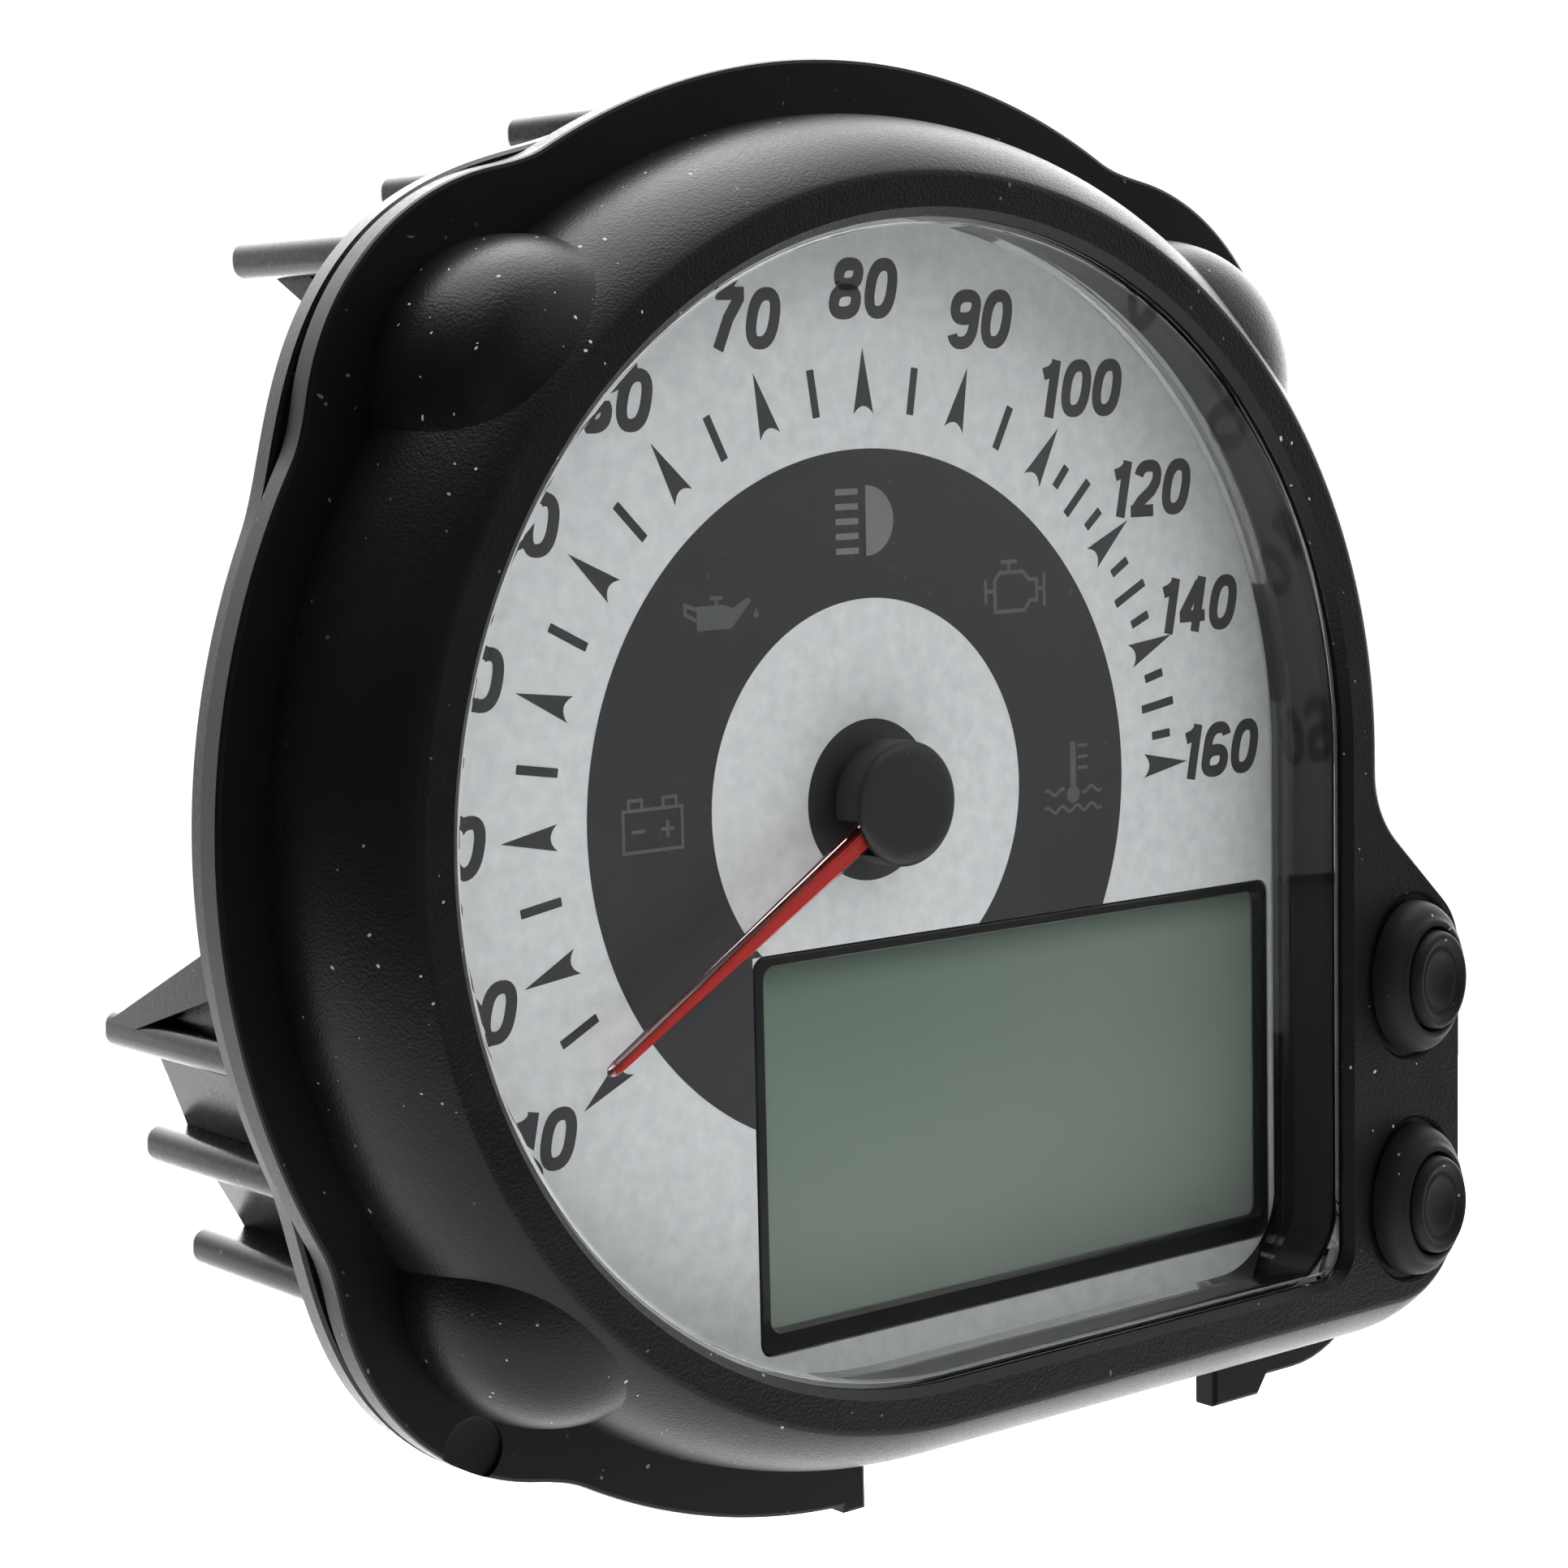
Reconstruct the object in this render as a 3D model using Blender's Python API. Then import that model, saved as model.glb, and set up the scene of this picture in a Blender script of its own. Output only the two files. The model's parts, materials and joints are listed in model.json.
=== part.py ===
"""Motorcycle instrument cluster: pointer speedometer with a display window and two buttons.

Seen by the rider, X runs right, Z up and Y away from the rider, into the dash. The origin is the
centre of the flat locating pad on the back of the case, on the pointer's axis. Sizes are in
millimetres; depths are measured from the dial's printed face, and every piece hangs from one
empty that stands on the pointer's axis at that face.
"""
import math

import bmesh
import bpy

MM = 0.001
GAP = 0.3                     # clearance kept between pieces that touch

# Driving dimensions
DEPTH = 40.0                  # dial face to the mounting plane on the back
WINDOW_R = 58.6               # opening of the front ring
RING_R = 63.07                # outer edge of the front ring's flat
RING_Y = -13.0                # front of the ring
SHOULDER = 6.43               # how far the domed shoulder grows outwards
FLANGE_Y = 2.07               # front of the fixing flange
FLANGE_BACK = 5.4
FLANGE_R = 75.0
PANEL_RIGHT = 77.2            # right side of the button panel
LOBE_ANGLES = (45.0, 135.0, 225.0)
LOBE_CENTRE, LOBE_R = 52.7, 26.9
POD_CENTRE, POD_R, POD_RISE = 58.9, 15.6, 14.6
SCREW_CENTRE = 70.5           # case screws, one in each lobe
BUTTON_X, BUTTON_Z = 69.3, (-25.6, -51.4)
BUTTON_TALL, BUTTON_FLAT = 9.0, 0.79      # half height, and width over height
PANEL_SCREW = (69.3, -38.5)

TRAY_R, TRAY_RIGHT, TRAY_BACK, WALL = 66.0, 77.5, 14.2, 2.2
TUB_R, TUB_BACK = 45.0, 37.0
RIB_THICK, RIB_BACK = 3.7, 39.0

DISPLAY = (-15.9, 58.6, -55.7, -14.7)     # left, right, bottom, top of the display frame
VIEW = (-14.5, 57.4, -53.4, -15.9)        # its window
BOARD_Y, BOARD_T = 9.0, 1.6
MODULE = 0.4                  # stepper gears
OUTPUT_TEETH, WHEEL_TEETH, PINION_TEETH = 40, 30, 10
IDLER_AT = (0.0, -MODULE * (OUTPUT_TEETH + PINION_TEETH) / 2)
ROTOR_HEADING = -60.0
ROTOR_REACH = MODULE * (WHEEL_TEETH + PINION_TEETH) / 2
ROTOR_AT = (IDLER_AT[0] + ROTOR_REACH * math.cos(math.radians(ROTOR_HEADING)),
            IDLER_AT[1] + ROTOR_REACH * math.sin(math.radians(ROTOR_HEADING)))
POINTER_ANGLE = 211.5         # where the pointer rests, from +X towards +Z
POINTER_Y = -4.6
MOUNT_R, MOUNT_ANGLES = 34.0, (90.0, 210.0, 330.0)
BOARD_SCREW_R, BOARD_SCREW_ANGLES = 38.0, (150.0, 90.0, 30.0)
VENT_AT = (20.0, 14.0)
ROUND_STEPS = 30              # facets on the three quarters of each case outline


# ---------------------------------------------------------------- outlines in the X-Z plane
def polar(radius, degrees, centre=(0.0, 0.0)):
    a = math.radians(degrees)
    return (centre[0] + radius * math.cos(a), centre[1] + radius * math.sin(a))


def arc(centre, radius, start, end, steps):
    return [polar(radius, start + (end - start) * i / steps, centre) for i in range(steps + 1)]


def circle(radius, steps, centre=(0.0, 0.0), turn=0.0):
    return [polar(radius, turn + 360.0 * i / steps, centre) for i in range(steps)]


def rounded(corners, steps=5):
    """Polygon of (x, z, radius) corners, each with a radius turned into a fillet."""
    points = []
    count = len(corners)
    for i, (x, z, radius) in enumerate(corners):
        if radius <= 0.0:
            points.append((x, z))
            continue
        before, after = corners[i - 1], corners[(i + 1) % count]
        ax, az = before[0] - x, before[1] - z
        bx, bz = after[0] - x, after[1] - z
        la, lb = math.hypot(ax, az), math.hypot(bx, bz)
        ax, az, bx, bz = ax / la, az / la, bx / lb, bz / lb
        half = math.acos(max(-1.0, min(1.0, ax * bx + az * bz))) / 2.0
        mx, mz = ax + bx, az + bz
        lm = math.hypot(mx, mz)
        cx, cz = x + mx / lm * radius / math.sin(half), z + mz / lm * radius / math.sin(half)
        reach = radius / math.tan(half)
        start = math.atan2(z + az * reach - cz, x + ax * reach - cx)
        end = math.atan2(z + bz * reach - cz, x + bx * reach - cx)
        sweep = (end - start + math.pi) % (2 * math.pi) - math.pi
        for k in range(steps + 1):
            a = start + sweep * k / steps
            points.append((cx + radius * math.cos(a), cz + radius * math.sin(a)))
    return points


def rectangle(left, right, bottom, top, radius=0.0, steps=3):
    corners = ((left, bottom), (right, bottom), (right, top), (left, top))
    return rounded([(x, z, radius) for x, z in corners], steps)


def window_outline(grow, corner):
    """Circle whose lower right quarter is squared off to the same tangent lines."""
    r = WINDOW_R + grow
    turn = arc((r - corner, corner - r), corner, 270.0, 360.0, 5)
    return arc((0.0, 0.0), r, 0.0, 270.0, ROUND_STEPS) + turn


def case_outline(radius, right, corner):
    """Circle joined on its lower right to the button bay."""
    bay = rounded([(0.0, -radius, 0.0), (right, -radius, corner), (right, -19.9, 8.0),
                   (radius, -6.5, 11.0 + RING_R - radius), (radius, 0.0, 0.0)], 4)
    return arc((0.0, 0.0), radius, 0.0, 270.0, ROUND_STEPS) + bay[1:-1]


def lobed_radius(degrees, base, soften):
    """Circle with three round lobes, blended over the given distance."""
    off = min(abs((degrees - lobe + 180.0) % 360.0 - 180.0) for lobe in LOBE_ANGLES)
    across = LOBE_CENTRE * math.sin(math.radians(off))
    if abs(across) >= LOBE_R:
        return base
    lobe = LOBE_CENTRE * math.cos(math.radians(off)) + math.sqrt(LOBE_R ** 2 - across ** 2)
    gap = max(0.0, 1.0 - abs(lobe - base) / soften)
    return max(base, lobe) + soften * gap * gap / 4.0


def lobed_arc(base, soften, start, end):
    points, degrees = [], start
    while degrees < end - 1e-6:
        points.append(polar(lobed_radius(degrees, base, soften), degrees))
        off = min(abs((degrees - lobe + 180.0) % 360.0 - 180.0) for lobe in LOBE_ANGLES)
        degrees += 2.5 if off < 17.5 else 5.0
    points.append(polar(lobed_radius(end, base, soften), end))
    return points


# ---------------------------------------------------------------- building blocks
def finish(name, colour, roughness, metallic=0.0, alpha=1.0):
    made = bpy.data.materials.new(name)
    made.use_nodes = True
    shader = made.node_tree.nodes["Principled BSDF"]
    shader.inputs["Base Color"].default_value = (*colour, 1.0)
    shader.inputs["Roughness"].default_value = roughness
    shader.inputs["Metallic"].default_value = metallic
    shader.inputs["Alpha"].default_value = alpha
    made.diffuse_color = (*colour, alpha)
    return made


def add(name, bm, looks, at=(0.0, 0.0)):
    """Finish a bmesh as one object under the frame empty, its origin on the line x, z."""
    bmesh.ops.recalc_face_normals(bm, faces=bm.faces)
    mesh = bpy.data.meshes.new(name)
    bm.to_mesh(mesh)
    bm.free()
    mesh.shade_smooth()
    mesh.set_sharp_from_angle(angle=math.radians(35))
    made = bpy.data.objects.new(name, mesh)
    bpy.context.scene.collection.objects.link(made)
    made.parent = FRAME
    made.location = (at[0] * MM, 0.0, at[1] * MM)
    if looks:
        made.data.materials.append(finish(name, *looks))
    return made


def loft(name, loops, looks=None, at=(0.0, 0.0), ring=False):
    """Skin a run of (outline, depth) loops; a ring joins the last to the first, else both are capped."""
    bm = bmesh.new()
    rows = [[bm.verts.new((x * MM, y * MM, z * MM)) for x, z in outline] for outline, y in loops]
    pairs = list(zip(rows, rows[1:] + rows[:1])) if ring else list(zip(rows, rows[1:]))
    for low, high in pairs:
        for i in range(len(low)):
            j = (i + 1) % len(low)
            bm.faces.new((low[i], low[j], high[j], high[i]))
    if not ring:
        bm.faces.new(rows[0])
        bm.faces.new(rows[-1])
    return add(name, bm, looks, at)


def prism(name, outline, front, back, looks=None, at=(0.0, 0.0)):
    return loft(name, [(outline, front), (outline, back)], looks, at)


def turned(name, profile, looks=None, at=(0.0, 0.0), steps=20, flat=1.0):
    """Turn (radius, depth) points about the Y line; ends at radius 0 close to a point."""
    bm = bmesh.new()
    rows = []
    for radius, y in profile:
        if radius <= 0.0:
            rows.append([bm.verts.new((0.0, y * MM, 0.0))])
        else:
            rows.append([bm.verts.new((x * flat * MM, y * MM, z * MM)) for x, z in circle(radius, steps)])
    closed = len(rows[0]) > 1
    for low, high in zip(rows, rows[1:] + (rows[:1] if closed else [])):
        for i in range(steps):
            j = (i + 1) % steps
            corners = [low[i % len(low)], low[j % len(low)], high[j % len(high)], high[i % len(high)]]
            face = [v for k, v in enumerate(corners) if v not in corners[:k]]
            if len(face) > 2:
                bm.faces.new(face)
    return add(name, bm, looks, at)


def rod(name, radius, front, back, looks=None, at=(0.0, 0.0), steps=16):
    return turned(name, [(0.0, front), (radius, front), (radius, back), (0.0, back)], looks, at, steps)


def washer(name, inner, outer, front, back, looks=None, at=(0.0, 0.0), steps=20):
    profile = [(inner, front), (outer, front), (outer, back), (inner, back)]
    return turned(name, profile, looks, at, steps)


def block(name, x0, x1, z0, z1, front, back, looks=None, radius=0.0):
    return prism(name, rectangle(x0, x1, z0, z1, radius), front, back, looks)


def combine(target, tool, operation):
    """Boolean the target with a guide shape, which stays hidden."""
    modifier = target.modifiers.new(operation.lower(), 'BOOLEAN')
    modifier.operation = operation
    modifier.object = tool
    tool.hide_render = True
    tool.display_type = 'WIRE'


def fuse(target, *tools):
    for tool in tools:
        combine(target, tool, 'UNION')


def cut(target, *tools):
    for tool in tools:
        combine(target, tool, 'DIFFERENCE')


# ---------------------------------------------------------------- finishes
BLACK_GRAIN = ((0.020, 0.020, 0.022), 0.55)
BLACK_PLAIN = ((0.025, 0.025, 0.027), 0.40)
RUBBER = ((0.018, 0.018, 0.018), 0.75)
CLEAR = ((0.92, 0.94, 0.95), 0.05, 0.0, 0.25)
SILVER_WHITE = ((0.62, 0.65, 0.66), 0.45)
DISPLAY_GREEN = ((0.34, 0.38, 0.34), 0.12)
MILKY = ((0.85, 0.86, 0.84), 0.50)
BOARD_GREEN = ((0.02, 0.16, 0.07), 0.45)
STEEL = ((0.55, 0.55, 0.56), 0.32, 1.0)
BRASS = ((0.72, 0.53, 0.24), 0.30, 1.0)
COPPER = ((0.72, 0.32, 0.16), 0.35, 1.0)
RED = ((0.60, 0.02, 0.03), 0.30)
WHITE_GEAR = ((0.80, 0.79, 0.74), 0.45)
MAGNET = ((0.10, 0.10, 0.11), 0.50, 0.6)


# ---------------------------------------------------------------- front case
def shoulder_step(turn):
    """Depth and outward growth of the shoulder dome at an angle from its base."""
    across, deep = 2.0 * SHOULDER, (FLANGE_Y - RING_Y) / math.sin(math.radians(60.0))
    a = math.radians(turn)
    return FLANGE_Y - deep * math.sin(a), across * math.cos(a) - SHOULDER


def front_outline(grow):
    return case_outline(RING_R + grow, PANEL_RIGHT + 0.2 * grow, 9.5 + 0.5 * grow)


def flange_outline():
    """Lobed flange, cut away under the ring, with a stop tab, a foot and a rounded lower corner."""
    bottom, foot = -73.6, -75.7
    left = lobed_arc(FLANGE_R, 1.6, -6.0, 267.5)
    tab = [(-3.2, foot), (-0.4, foot), (-0.4, -66.6), (52.3, -66.6), (52.3, foot), (59.5, foot)]
    corner = rounded([(61.0, bottom, 0.0), (80.5, bottom, 15.0), (80.5, -19.0, 9.0), (74.6, -9.0, 0.0)])
    return left + tab + corner


def front_bezel():
    loops = [(front_outline(grow), y) for y, grow in (shoulder_step(t) for t in range(60, -1, -10))]
    loops.append((front_outline(SHOULDER), FLANGE_BACK - 0.6))
    bezel = loft("front_bezel", loops, BLACK_GRAIN)
    fuse(bezel, prism("flange_blank", flange_outline(), FLANGE_Y - 0.05, FLANGE_BACK))
    for angle in LOBE_ANGLES:
        dome = [(0.0, FLANGE_Y - POD_RISE)]
        dome += [(POD_R * math.sin(math.radians(t)), FLANGE_Y - POD_RISE * math.cos(math.radians(t)))
                 for t in range(15, 91, 15)]
        dome += [(POD_R, FLANGE_Y + 1.0), (0.0, FLANGE_Y + 1.0)]
        fuse(bezel, turned("pod_blank", dome, at=polar(POD_CENTRE, angle), steps=24))
    hollow = [(front_outline(grow - WALL), y + WALL) for y, grow in (shoulder_step(t) for t in (40, 20, 0))]
    hollow.append((front_outline(SHOULDER - WALL), FLANGE_BACK + 1.0))
    channel = loft("channel_cutter", hollow)
    cut(channel, prism("tube_guard", window_outline(4.1, 7.5), -14.0, 8.0))
    for angle in LOBE_ANGLES:
        cut(channel, rod("tower_guard", 4.4, -14.0, 8.0, at=polar(SCREW_CENTRE - 2.0, angle)))
    cut(bezel, channel)
    fuse(bezel, rod("panel_tower", 3.2, RING_Y + 1.0, 8.3, at=PANEL_SCREW))
    cut(bezel, prism("tube_cutter", window_outline(2.6, 6.0), RING_Y + 1.6, 8.0))
    cut(bezel, prism("window_cutter", window_outline(0.0, 3.4), -16.0, RING_Y + 2.4))
    seat, hole, guide = BUTTON_TALL + GAP, 7.6, 3.2
    floor, step = RING_Y + 0.6, -8.0
    for z in BUTTON_Z:
        cut(bezel, turned("boot_seat", [(0.0, -16.0), (seat, -16.0), (seat, floor), (hole, floor),
                                        (hole, step), (guide, step), (guide, -4.0), (0.0, -4.0)],
                          at=(BUTTON_X, z), flat=BUTTON_FLAT))
    for angle in LOBE_ANGLES:
        cut(bezel, rod("pilot_hole", 1.8, -2.0, 8.0, at=polar(SCREW_CENTRE, angle), steps=12))
    cut(bezel, rod("panel_pilot", 1.6, -2.0, 12.0, at=PANEL_SCREW, steps=12))
    return bezel


def window_lens():
    outer, rim, inner = window_outline(-0.4, 3.0), window_outline(2.2, 5.6), window_outline(0.7, 9.2)
    loft("window_lens", [(outer, -11.6), (outer, -10.0), (rim, -10.0), (rim, -0.4),
                         (inner, -0.4), (inner, -9.0)], CLEAR)
    groove = window_outline(-0.1, 3.3)
    loft("lens_gasket", [(rim, -11.1), (rim, -10.3), (groove, -10.3), (groove, -11.1)], RUBBER, ring=True)


# ---------------------------------------------------------------- dial and display
def telltale_places():
    return {"battery": (-28.0, 0.0), "oil": (-19.4, 20.2), "high_beam": (0.0, 28.6),
            "engine": (20.2, 20.4), "coolant": (28.6, 0.0)}


def dial_stack():
    left, right, bottom, top = DISPLAY
    dial = prism("dial_plate", window_outline(2.2, 5.6), 0.0, 0.8, SILVER_WHITE)
    cut(dial, block("dial_window", left - 0.2, right + GAP, bottom - GAP, top + 0.2, -1.0, 2.0, radius=1.6))
    cut(dial, rod("dial_hole", 2.2, -1.0, 2.0))
    guide = prism("dial_light_guide", window_outline(1.2, 5.0), 1.1, 3.1, CLEAR)
    carrier = prism("light_carrier", window_outline(1.2, 5.0), 3.4, 6.6, MILKY)
    for plate in (guide, carrier):
        cut(plate, block("display_bay", left - 2.4, 70.0, -70.0, top + 2.0, 0.0, 9.0))
        cut(plate, rod("hub_hole", 4.0, 0.0, 9.0))
    for at in telltale_places().values():
        cut(carrier, rod("telltale_well", 4.2, 3.0, 7.0, at=at))
    for at in (polar(BOARD_SCREW_R, angle) for angle in BOARD_SCREW_ANGLES):
        fuse(carrier, rod("board_post", 3.2, 6.0, BOARD_Y - GAP, at=at))
        cut(carrier, rod("post_pilot", 1.5, 4.0, 9.5, at=at, steps=12))
    frame = block("lcd_frame", left, right, bottom, top, 0.0, 2.0, BLACK_PLAIN, radius=1.4)
    fuse(frame, block("frame_body", left - 2.0, right + 1.6, bottom - 2.0, top + 1.7, 1.1, 7.5, radius=1.6))
    cut(frame, block("glass_pocket", left + 0.1, right - 0.2, bottom + 0.6, top - 0.2, 1.0, 9.0))
    cut(frame, block("view_hole", *VIEW, -1.0, 3.0, radius=1.4))
    block("lcd_glass", left + 0.4, right - 0.5, bottom + 0.9, top - 0.5, 1.3, 3.3, DISPLAY_GREEN)
    block("lcd_backlight", left + 1.0, right - 1.2, -50.6, -19.4, 3.6, 6.4, MILKY)
    block("lcd_contact_strip_top", -10.0, 52.0, -18.6, -16.4, 3.6, BOARD_Y - GAP, ((0.85, 0.55, 0.62), 0.6))
    block("lcd_contact_strip_bottom", -10.0, 52.0, -53.6, -51.4, 3.6, BOARD_Y - GAP, ((0.85, 0.55, 0.62), 0.6))


def circuit_board():
    board = prism("circuit_board", case_outline(62.0, 74.6, 8.0), BOARD_Y, BOARD_Y + BOARD_T, BOARD_GREEN)
    cut(board, rod("shaft_hole", 2.4, 8.0, 12.0))
    cut(board, rod("tower_hole", 3.7, 8.0, 12.0, at=PANEL_SCREW))
    for i, angle in enumerate(BOARD_SCREW_ANGLES, 1):
        at = polar(BOARD_SCREW_R, angle)
        cut(board, rod("screw_hole", 1.7, 8.0, 12.0, at=at, steps=12))
        screw("board_screw_%d" % i, at, BOARD_Y + BOARD_T + GAP, 2.5, 1.3, 1.1, 5.2)
    for name, (x, z) in telltale_places().items():
        block("telltale_led_" + name, x - 1.7, x + 1.7, z - 1.4, z + 1.4, 7.0, BOARD_Y - GAP, MILKY)
    back = BOARD_Y + BOARD_T + GAP
    block("controller_chip", 10.0, 24.0, 16.0, 30.0, back, back + 2.0, BLACK_PLAIN)
    rod("smoothing_capacitor", 4.0, back, 22.0, STEEL, at=(-24.0, 24.0))


def screw(name, at, seat, head_r, head_t, shank_r, tip):
    """Pan head behind the seat plane, shank running forwards to its tip."""
    profile = [(0.0, tip), (shank_r * 0.5, tip), (shank_r, tip + 1.0), (shank_r, seat), (head_r, seat),
               (head_r, seat + 0.6 * head_t), (head_r * 0.7, seat + head_t), (0.0, seat + head_t)]
    turned(name, profile, STEEL, at, steps=12)


# ---------------------------------------------------------------- stepper motor and pointer
def gear_outline(teeth, heading):
    """Straight-flanked teeth, thinned for running clearance, one centred on the heading."""
    pitch_r = MODULE * teeth / 2.0
    tip, root = pitch_r + 0.78 * MODULE, pitch_r - 1.25 * MODULE
    points = []
    for i in range(teeth):
        middle = heading + 360.0 * i / teeth
        for radius, half_width in ((root, -0.36), (tip, -0.12), (tip, 0.12), (root, 0.36)):
            points.append(polar(radius, middle + math.degrees(half_width * MODULE / 0.5 / radius)))
    return points


def stepper_motor():
    case = block("motor_case", -14.0, 14.0, -27.0, 12.0, 10.9, 24.0, ((0.70, 0.69, 0.64), 0.5), radius=2.0)
    cut(case, block("motor_cavity", -12.8, 12.8, -25.8, 10.8, 12.1, 26.0, radius=1.0))
    cut(case, rod("bushing_hole", 2.5, 10.0, 13.0))
    block("motor_cover", -14.0, 14.0, -27.0, 12.0, 24.3, 25.6, ((0.66, 0.65, 0.60), 0.5), radius=2.0)
    washer("motor_bushing", 1.05, 2.2, 10.9, 12.4, BRASS)
    washer("motor_coil_side", 1.7, 2.6, 0.0, 6.6, COPPER).rotation_euler = (0.0, 0.0, math.radians(90.0))
    bpy.data.objects["motor_coil_side"].location = (-3.4 * MM, 19.0 * MM, ROTOR_AT[1] * MM)
    washer("motor_coil_top", 1.7, 2.6, 0.0, 9.0, COPPER).rotation_euler = (math.radians(90.0), 0.0, 0.0)
    bpy.data.objects["motor_coil_top"].location = (ROTOR_AT[0] * MM, 19.0 * MM, -9.0 * MM)
    x, z = ROTOR_AT
    stator = washer("motor_stator", 4.8, 6.4, 18.4, 19.6, STEEL, at=ROTOR_AT)
    fuse(stator, block("stator_arm_side", -10.8, x - 5.2, z - 1.0, z + 1.0, 18.45, 19.55),
         block("stator_arm_top", x - 1.0, x + 1.0, z + 5.2, 0.8, 18.45, 19.55))
    rod("motor_idler_pin", 0.45, 12.4, 23.6, STEEL, at=IDLER_AT, steps=12)
    rod("motor_rotor_pin", 0.45, 12.4, 23.6, STEEL, at=ROTOR_AT, steps=12)

    output = prism("output_gear", gear_outline(OUTPUT_TEETH, -90.0), 13.0, 14.2, WHITE_GEAR)
    cut(output, rod("output_bore", 1.05, 12.0, 15.0))
    idler = prism("idler_gear", gear_outline(WHEEL_TEETH, ROTOR_HEADING), 15.0, 16.2, WHITE_GEAR, at=IDLER_AT)
    toward_gap = 90.0 + 180.0 / PINION_TEETH
    fuse(idler, prism("idler_pinion", gear_outline(PINION_TEETH, toward_gap), 12.7, 15.4, at=IDLER_AT))
    cut(idler, rod("idler_bore", 0.75, 12.0, 17.0, at=IDLER_AT, steps=12))
    toward_gap = ROTOR_HEADING + 180.0 + 180.0 / PINION_TEETH
    pinion = prism("rotor_pinion", gear_outline(PINION_TEETH, toward_gap), 14.7, 16.7, WHITE_GEAR, at=ROTOR_AT)
    cut(pinion, rod("rotor_bore", 0.75, 14.0, 18.0, at=ROTOR_AT, steps=12))
    washer("rotor_magnet", 0.75, 4.3, 17.0, 21.0, MAGNET, at=ROTOR_AT)


def pointer():
    """Shaft, cap and blade turn together about the dial's centre."""
    rod("pointer_shaft", 0.75, -3.1, 15.0, STEEL, steps=12)
    cap = turned("pointer_cap", [(0.0, -6.2), (6.0, -6.2), (6.44, -5.8), (6.44, -2.0), (5.4, -2.0),
                                 (5.4, -5.3), (0.0, -5.3)], BLACK_GRAIN, steps=28)
    slot = block("cap_slot", 3.0, 9.0, -2.3, 2.3, POINTER_Y - 0.6 - GAP, 0.0)
    slot.rotation_euler = (0.0, -math.radians(POINTER_ANGLE), 0.0)
    cut(cap, slot)
    reach, root, tip = 43.7, 1.9, 0.75
    section = ((1.0, -0.60), (1.0, 0.35), (0.45, 0.60), (-0.45, 0.60), (-1.0, 0.35), (-1.0, -0.60))
    bm = bmesh.new()
    rows = []
    for along, half in ((3.0, root), (reach - 1.2, tip), (reach, 0.25)):
        rows.append([bm.verts.new((along * MM, (POINTER_Y - depth) * MM, side * half * MM))
                     for side, depth in section])
    for low, high in zip(rows, rows[1:]):
        for i in range(len(section)):
            j = (i + 1) % len(section)
            bm.faces.new((low[i], low[j], high[j], high[i]))
    bm.faces.new(rows[0])
    bm.faces.new(rows[-1])
    blade = add("pointer_blade", bm, RED)
    blade.rotation_euler = (0.0, -math.radians(POINTER_ANGLE), 0.0)
    fuse(blade, rod("blade_hub", 4.6, POINTER_Y - 0.35, -2.6, steps=24))
    cut(blade, rod("blade_bore", 1.05, POINTER_Y + 0.6, 0.0, steps=12))


# ---------------------------------------------------------------- buttons
def button(name, z):
    at = (BUTTON_X, z)
    back = RING_Y + 0.3
    boot = [(5.95, back + 2.8), (5.95, -14.9), (6.3, -15.2), (6.9, -15.9), (7.6, -16.2), (8.3, -15.9),
            (8.8, -15.2), (9.0, -14.2), (9.0, back), (7.25, back), (7.25, back + 2.8)]
    turned(name + "_button_boot", boot, RUBBER, at, steps=24, flat=BUTTON_FLAT)
    nub = [(0.0, -16.7), (2.4, -16.9), (3.6, -17.5), (4.3, -17.9), (5.0, -17.8), (5.45, -17.3),
           (5.6, -16.6), (5.6, -11.0), (0.0, -11.0)]
    turned(name + "_button", nub, RUBBER, at, steps=24, flat=BUTTON_FLAT)
    stem = [(0.0, -10.7), (3.2, -10.7), (3.2, -9.7), (2.2, -8.7), (2.2, 3.4), (1.6, 3.4), (1.6, 7.0),
            (0.0, 7.0)]
    turned(name + "_button_plunger", stem, WHITE_GEAR, at, steps=16)
    x = BUTTON_X
    switch = block(name + "_switch", x - 3.1, x + 3.1, z - 3.1, z + 3.1, 5.2, BOARD_Y - GAP, BLACK_PLAIN)
    cut(switch, rod("switch_well", 1.95, 4.0, 8.3, at=at, steps=16))


# ---------------------------------------------------------------- rear case
def rear_flange_outline():
    left = lobed_arc(FLANGE_R - 0.9, 6.0, -6.0, 267.5)
    corner = rounded([(-3.2, -68.9, 0.0), (79.6, -68.9, 14.0), (79.6, -19.0, 9.0), (73.7, -9.0, 0.0)])
    return left + corner


RIBS = (                      # left end, right end, height of each horizontal rib
    (-16.1, 16.1, 69.5), (-32.2, 32.2, 63.0), (-50.1, 50.1, 56.1),
    (-68.1, -39.4, -19.8), (-64.0, -30.4, -32.2), (-59.3, -14.0, -43.7))
GUSSETS = (                   # left face, height at the rib, height at the flange
    (-46.2, 55.0, 39.5), (43.1, 55.0, 39.5), (-68.1, -19.0, -5.0))


def rib(left, right, z):
    half = RIB_THICK / 2.0
    outline = rounded([(left, z - half, 1.2), (right, z - half, 1.2), (right, z + half, 1.2),
                       (left, z + half, 1.2)], 3)
    inner = rounded([(left + 1.2, z - half + 1.2, 0.5), (right - 1.2, z - half + 1.2, 0.5),
                     (right - 1.2, z + half - 1.2, 0.5), (left + 1.2, z + half - 1.2, 0.5)], 3)
    return loft("rib_blank", [(outline, 7.0), (outline, RIB_BACK - 1.2), (inner, RIB_BACK)])


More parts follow.
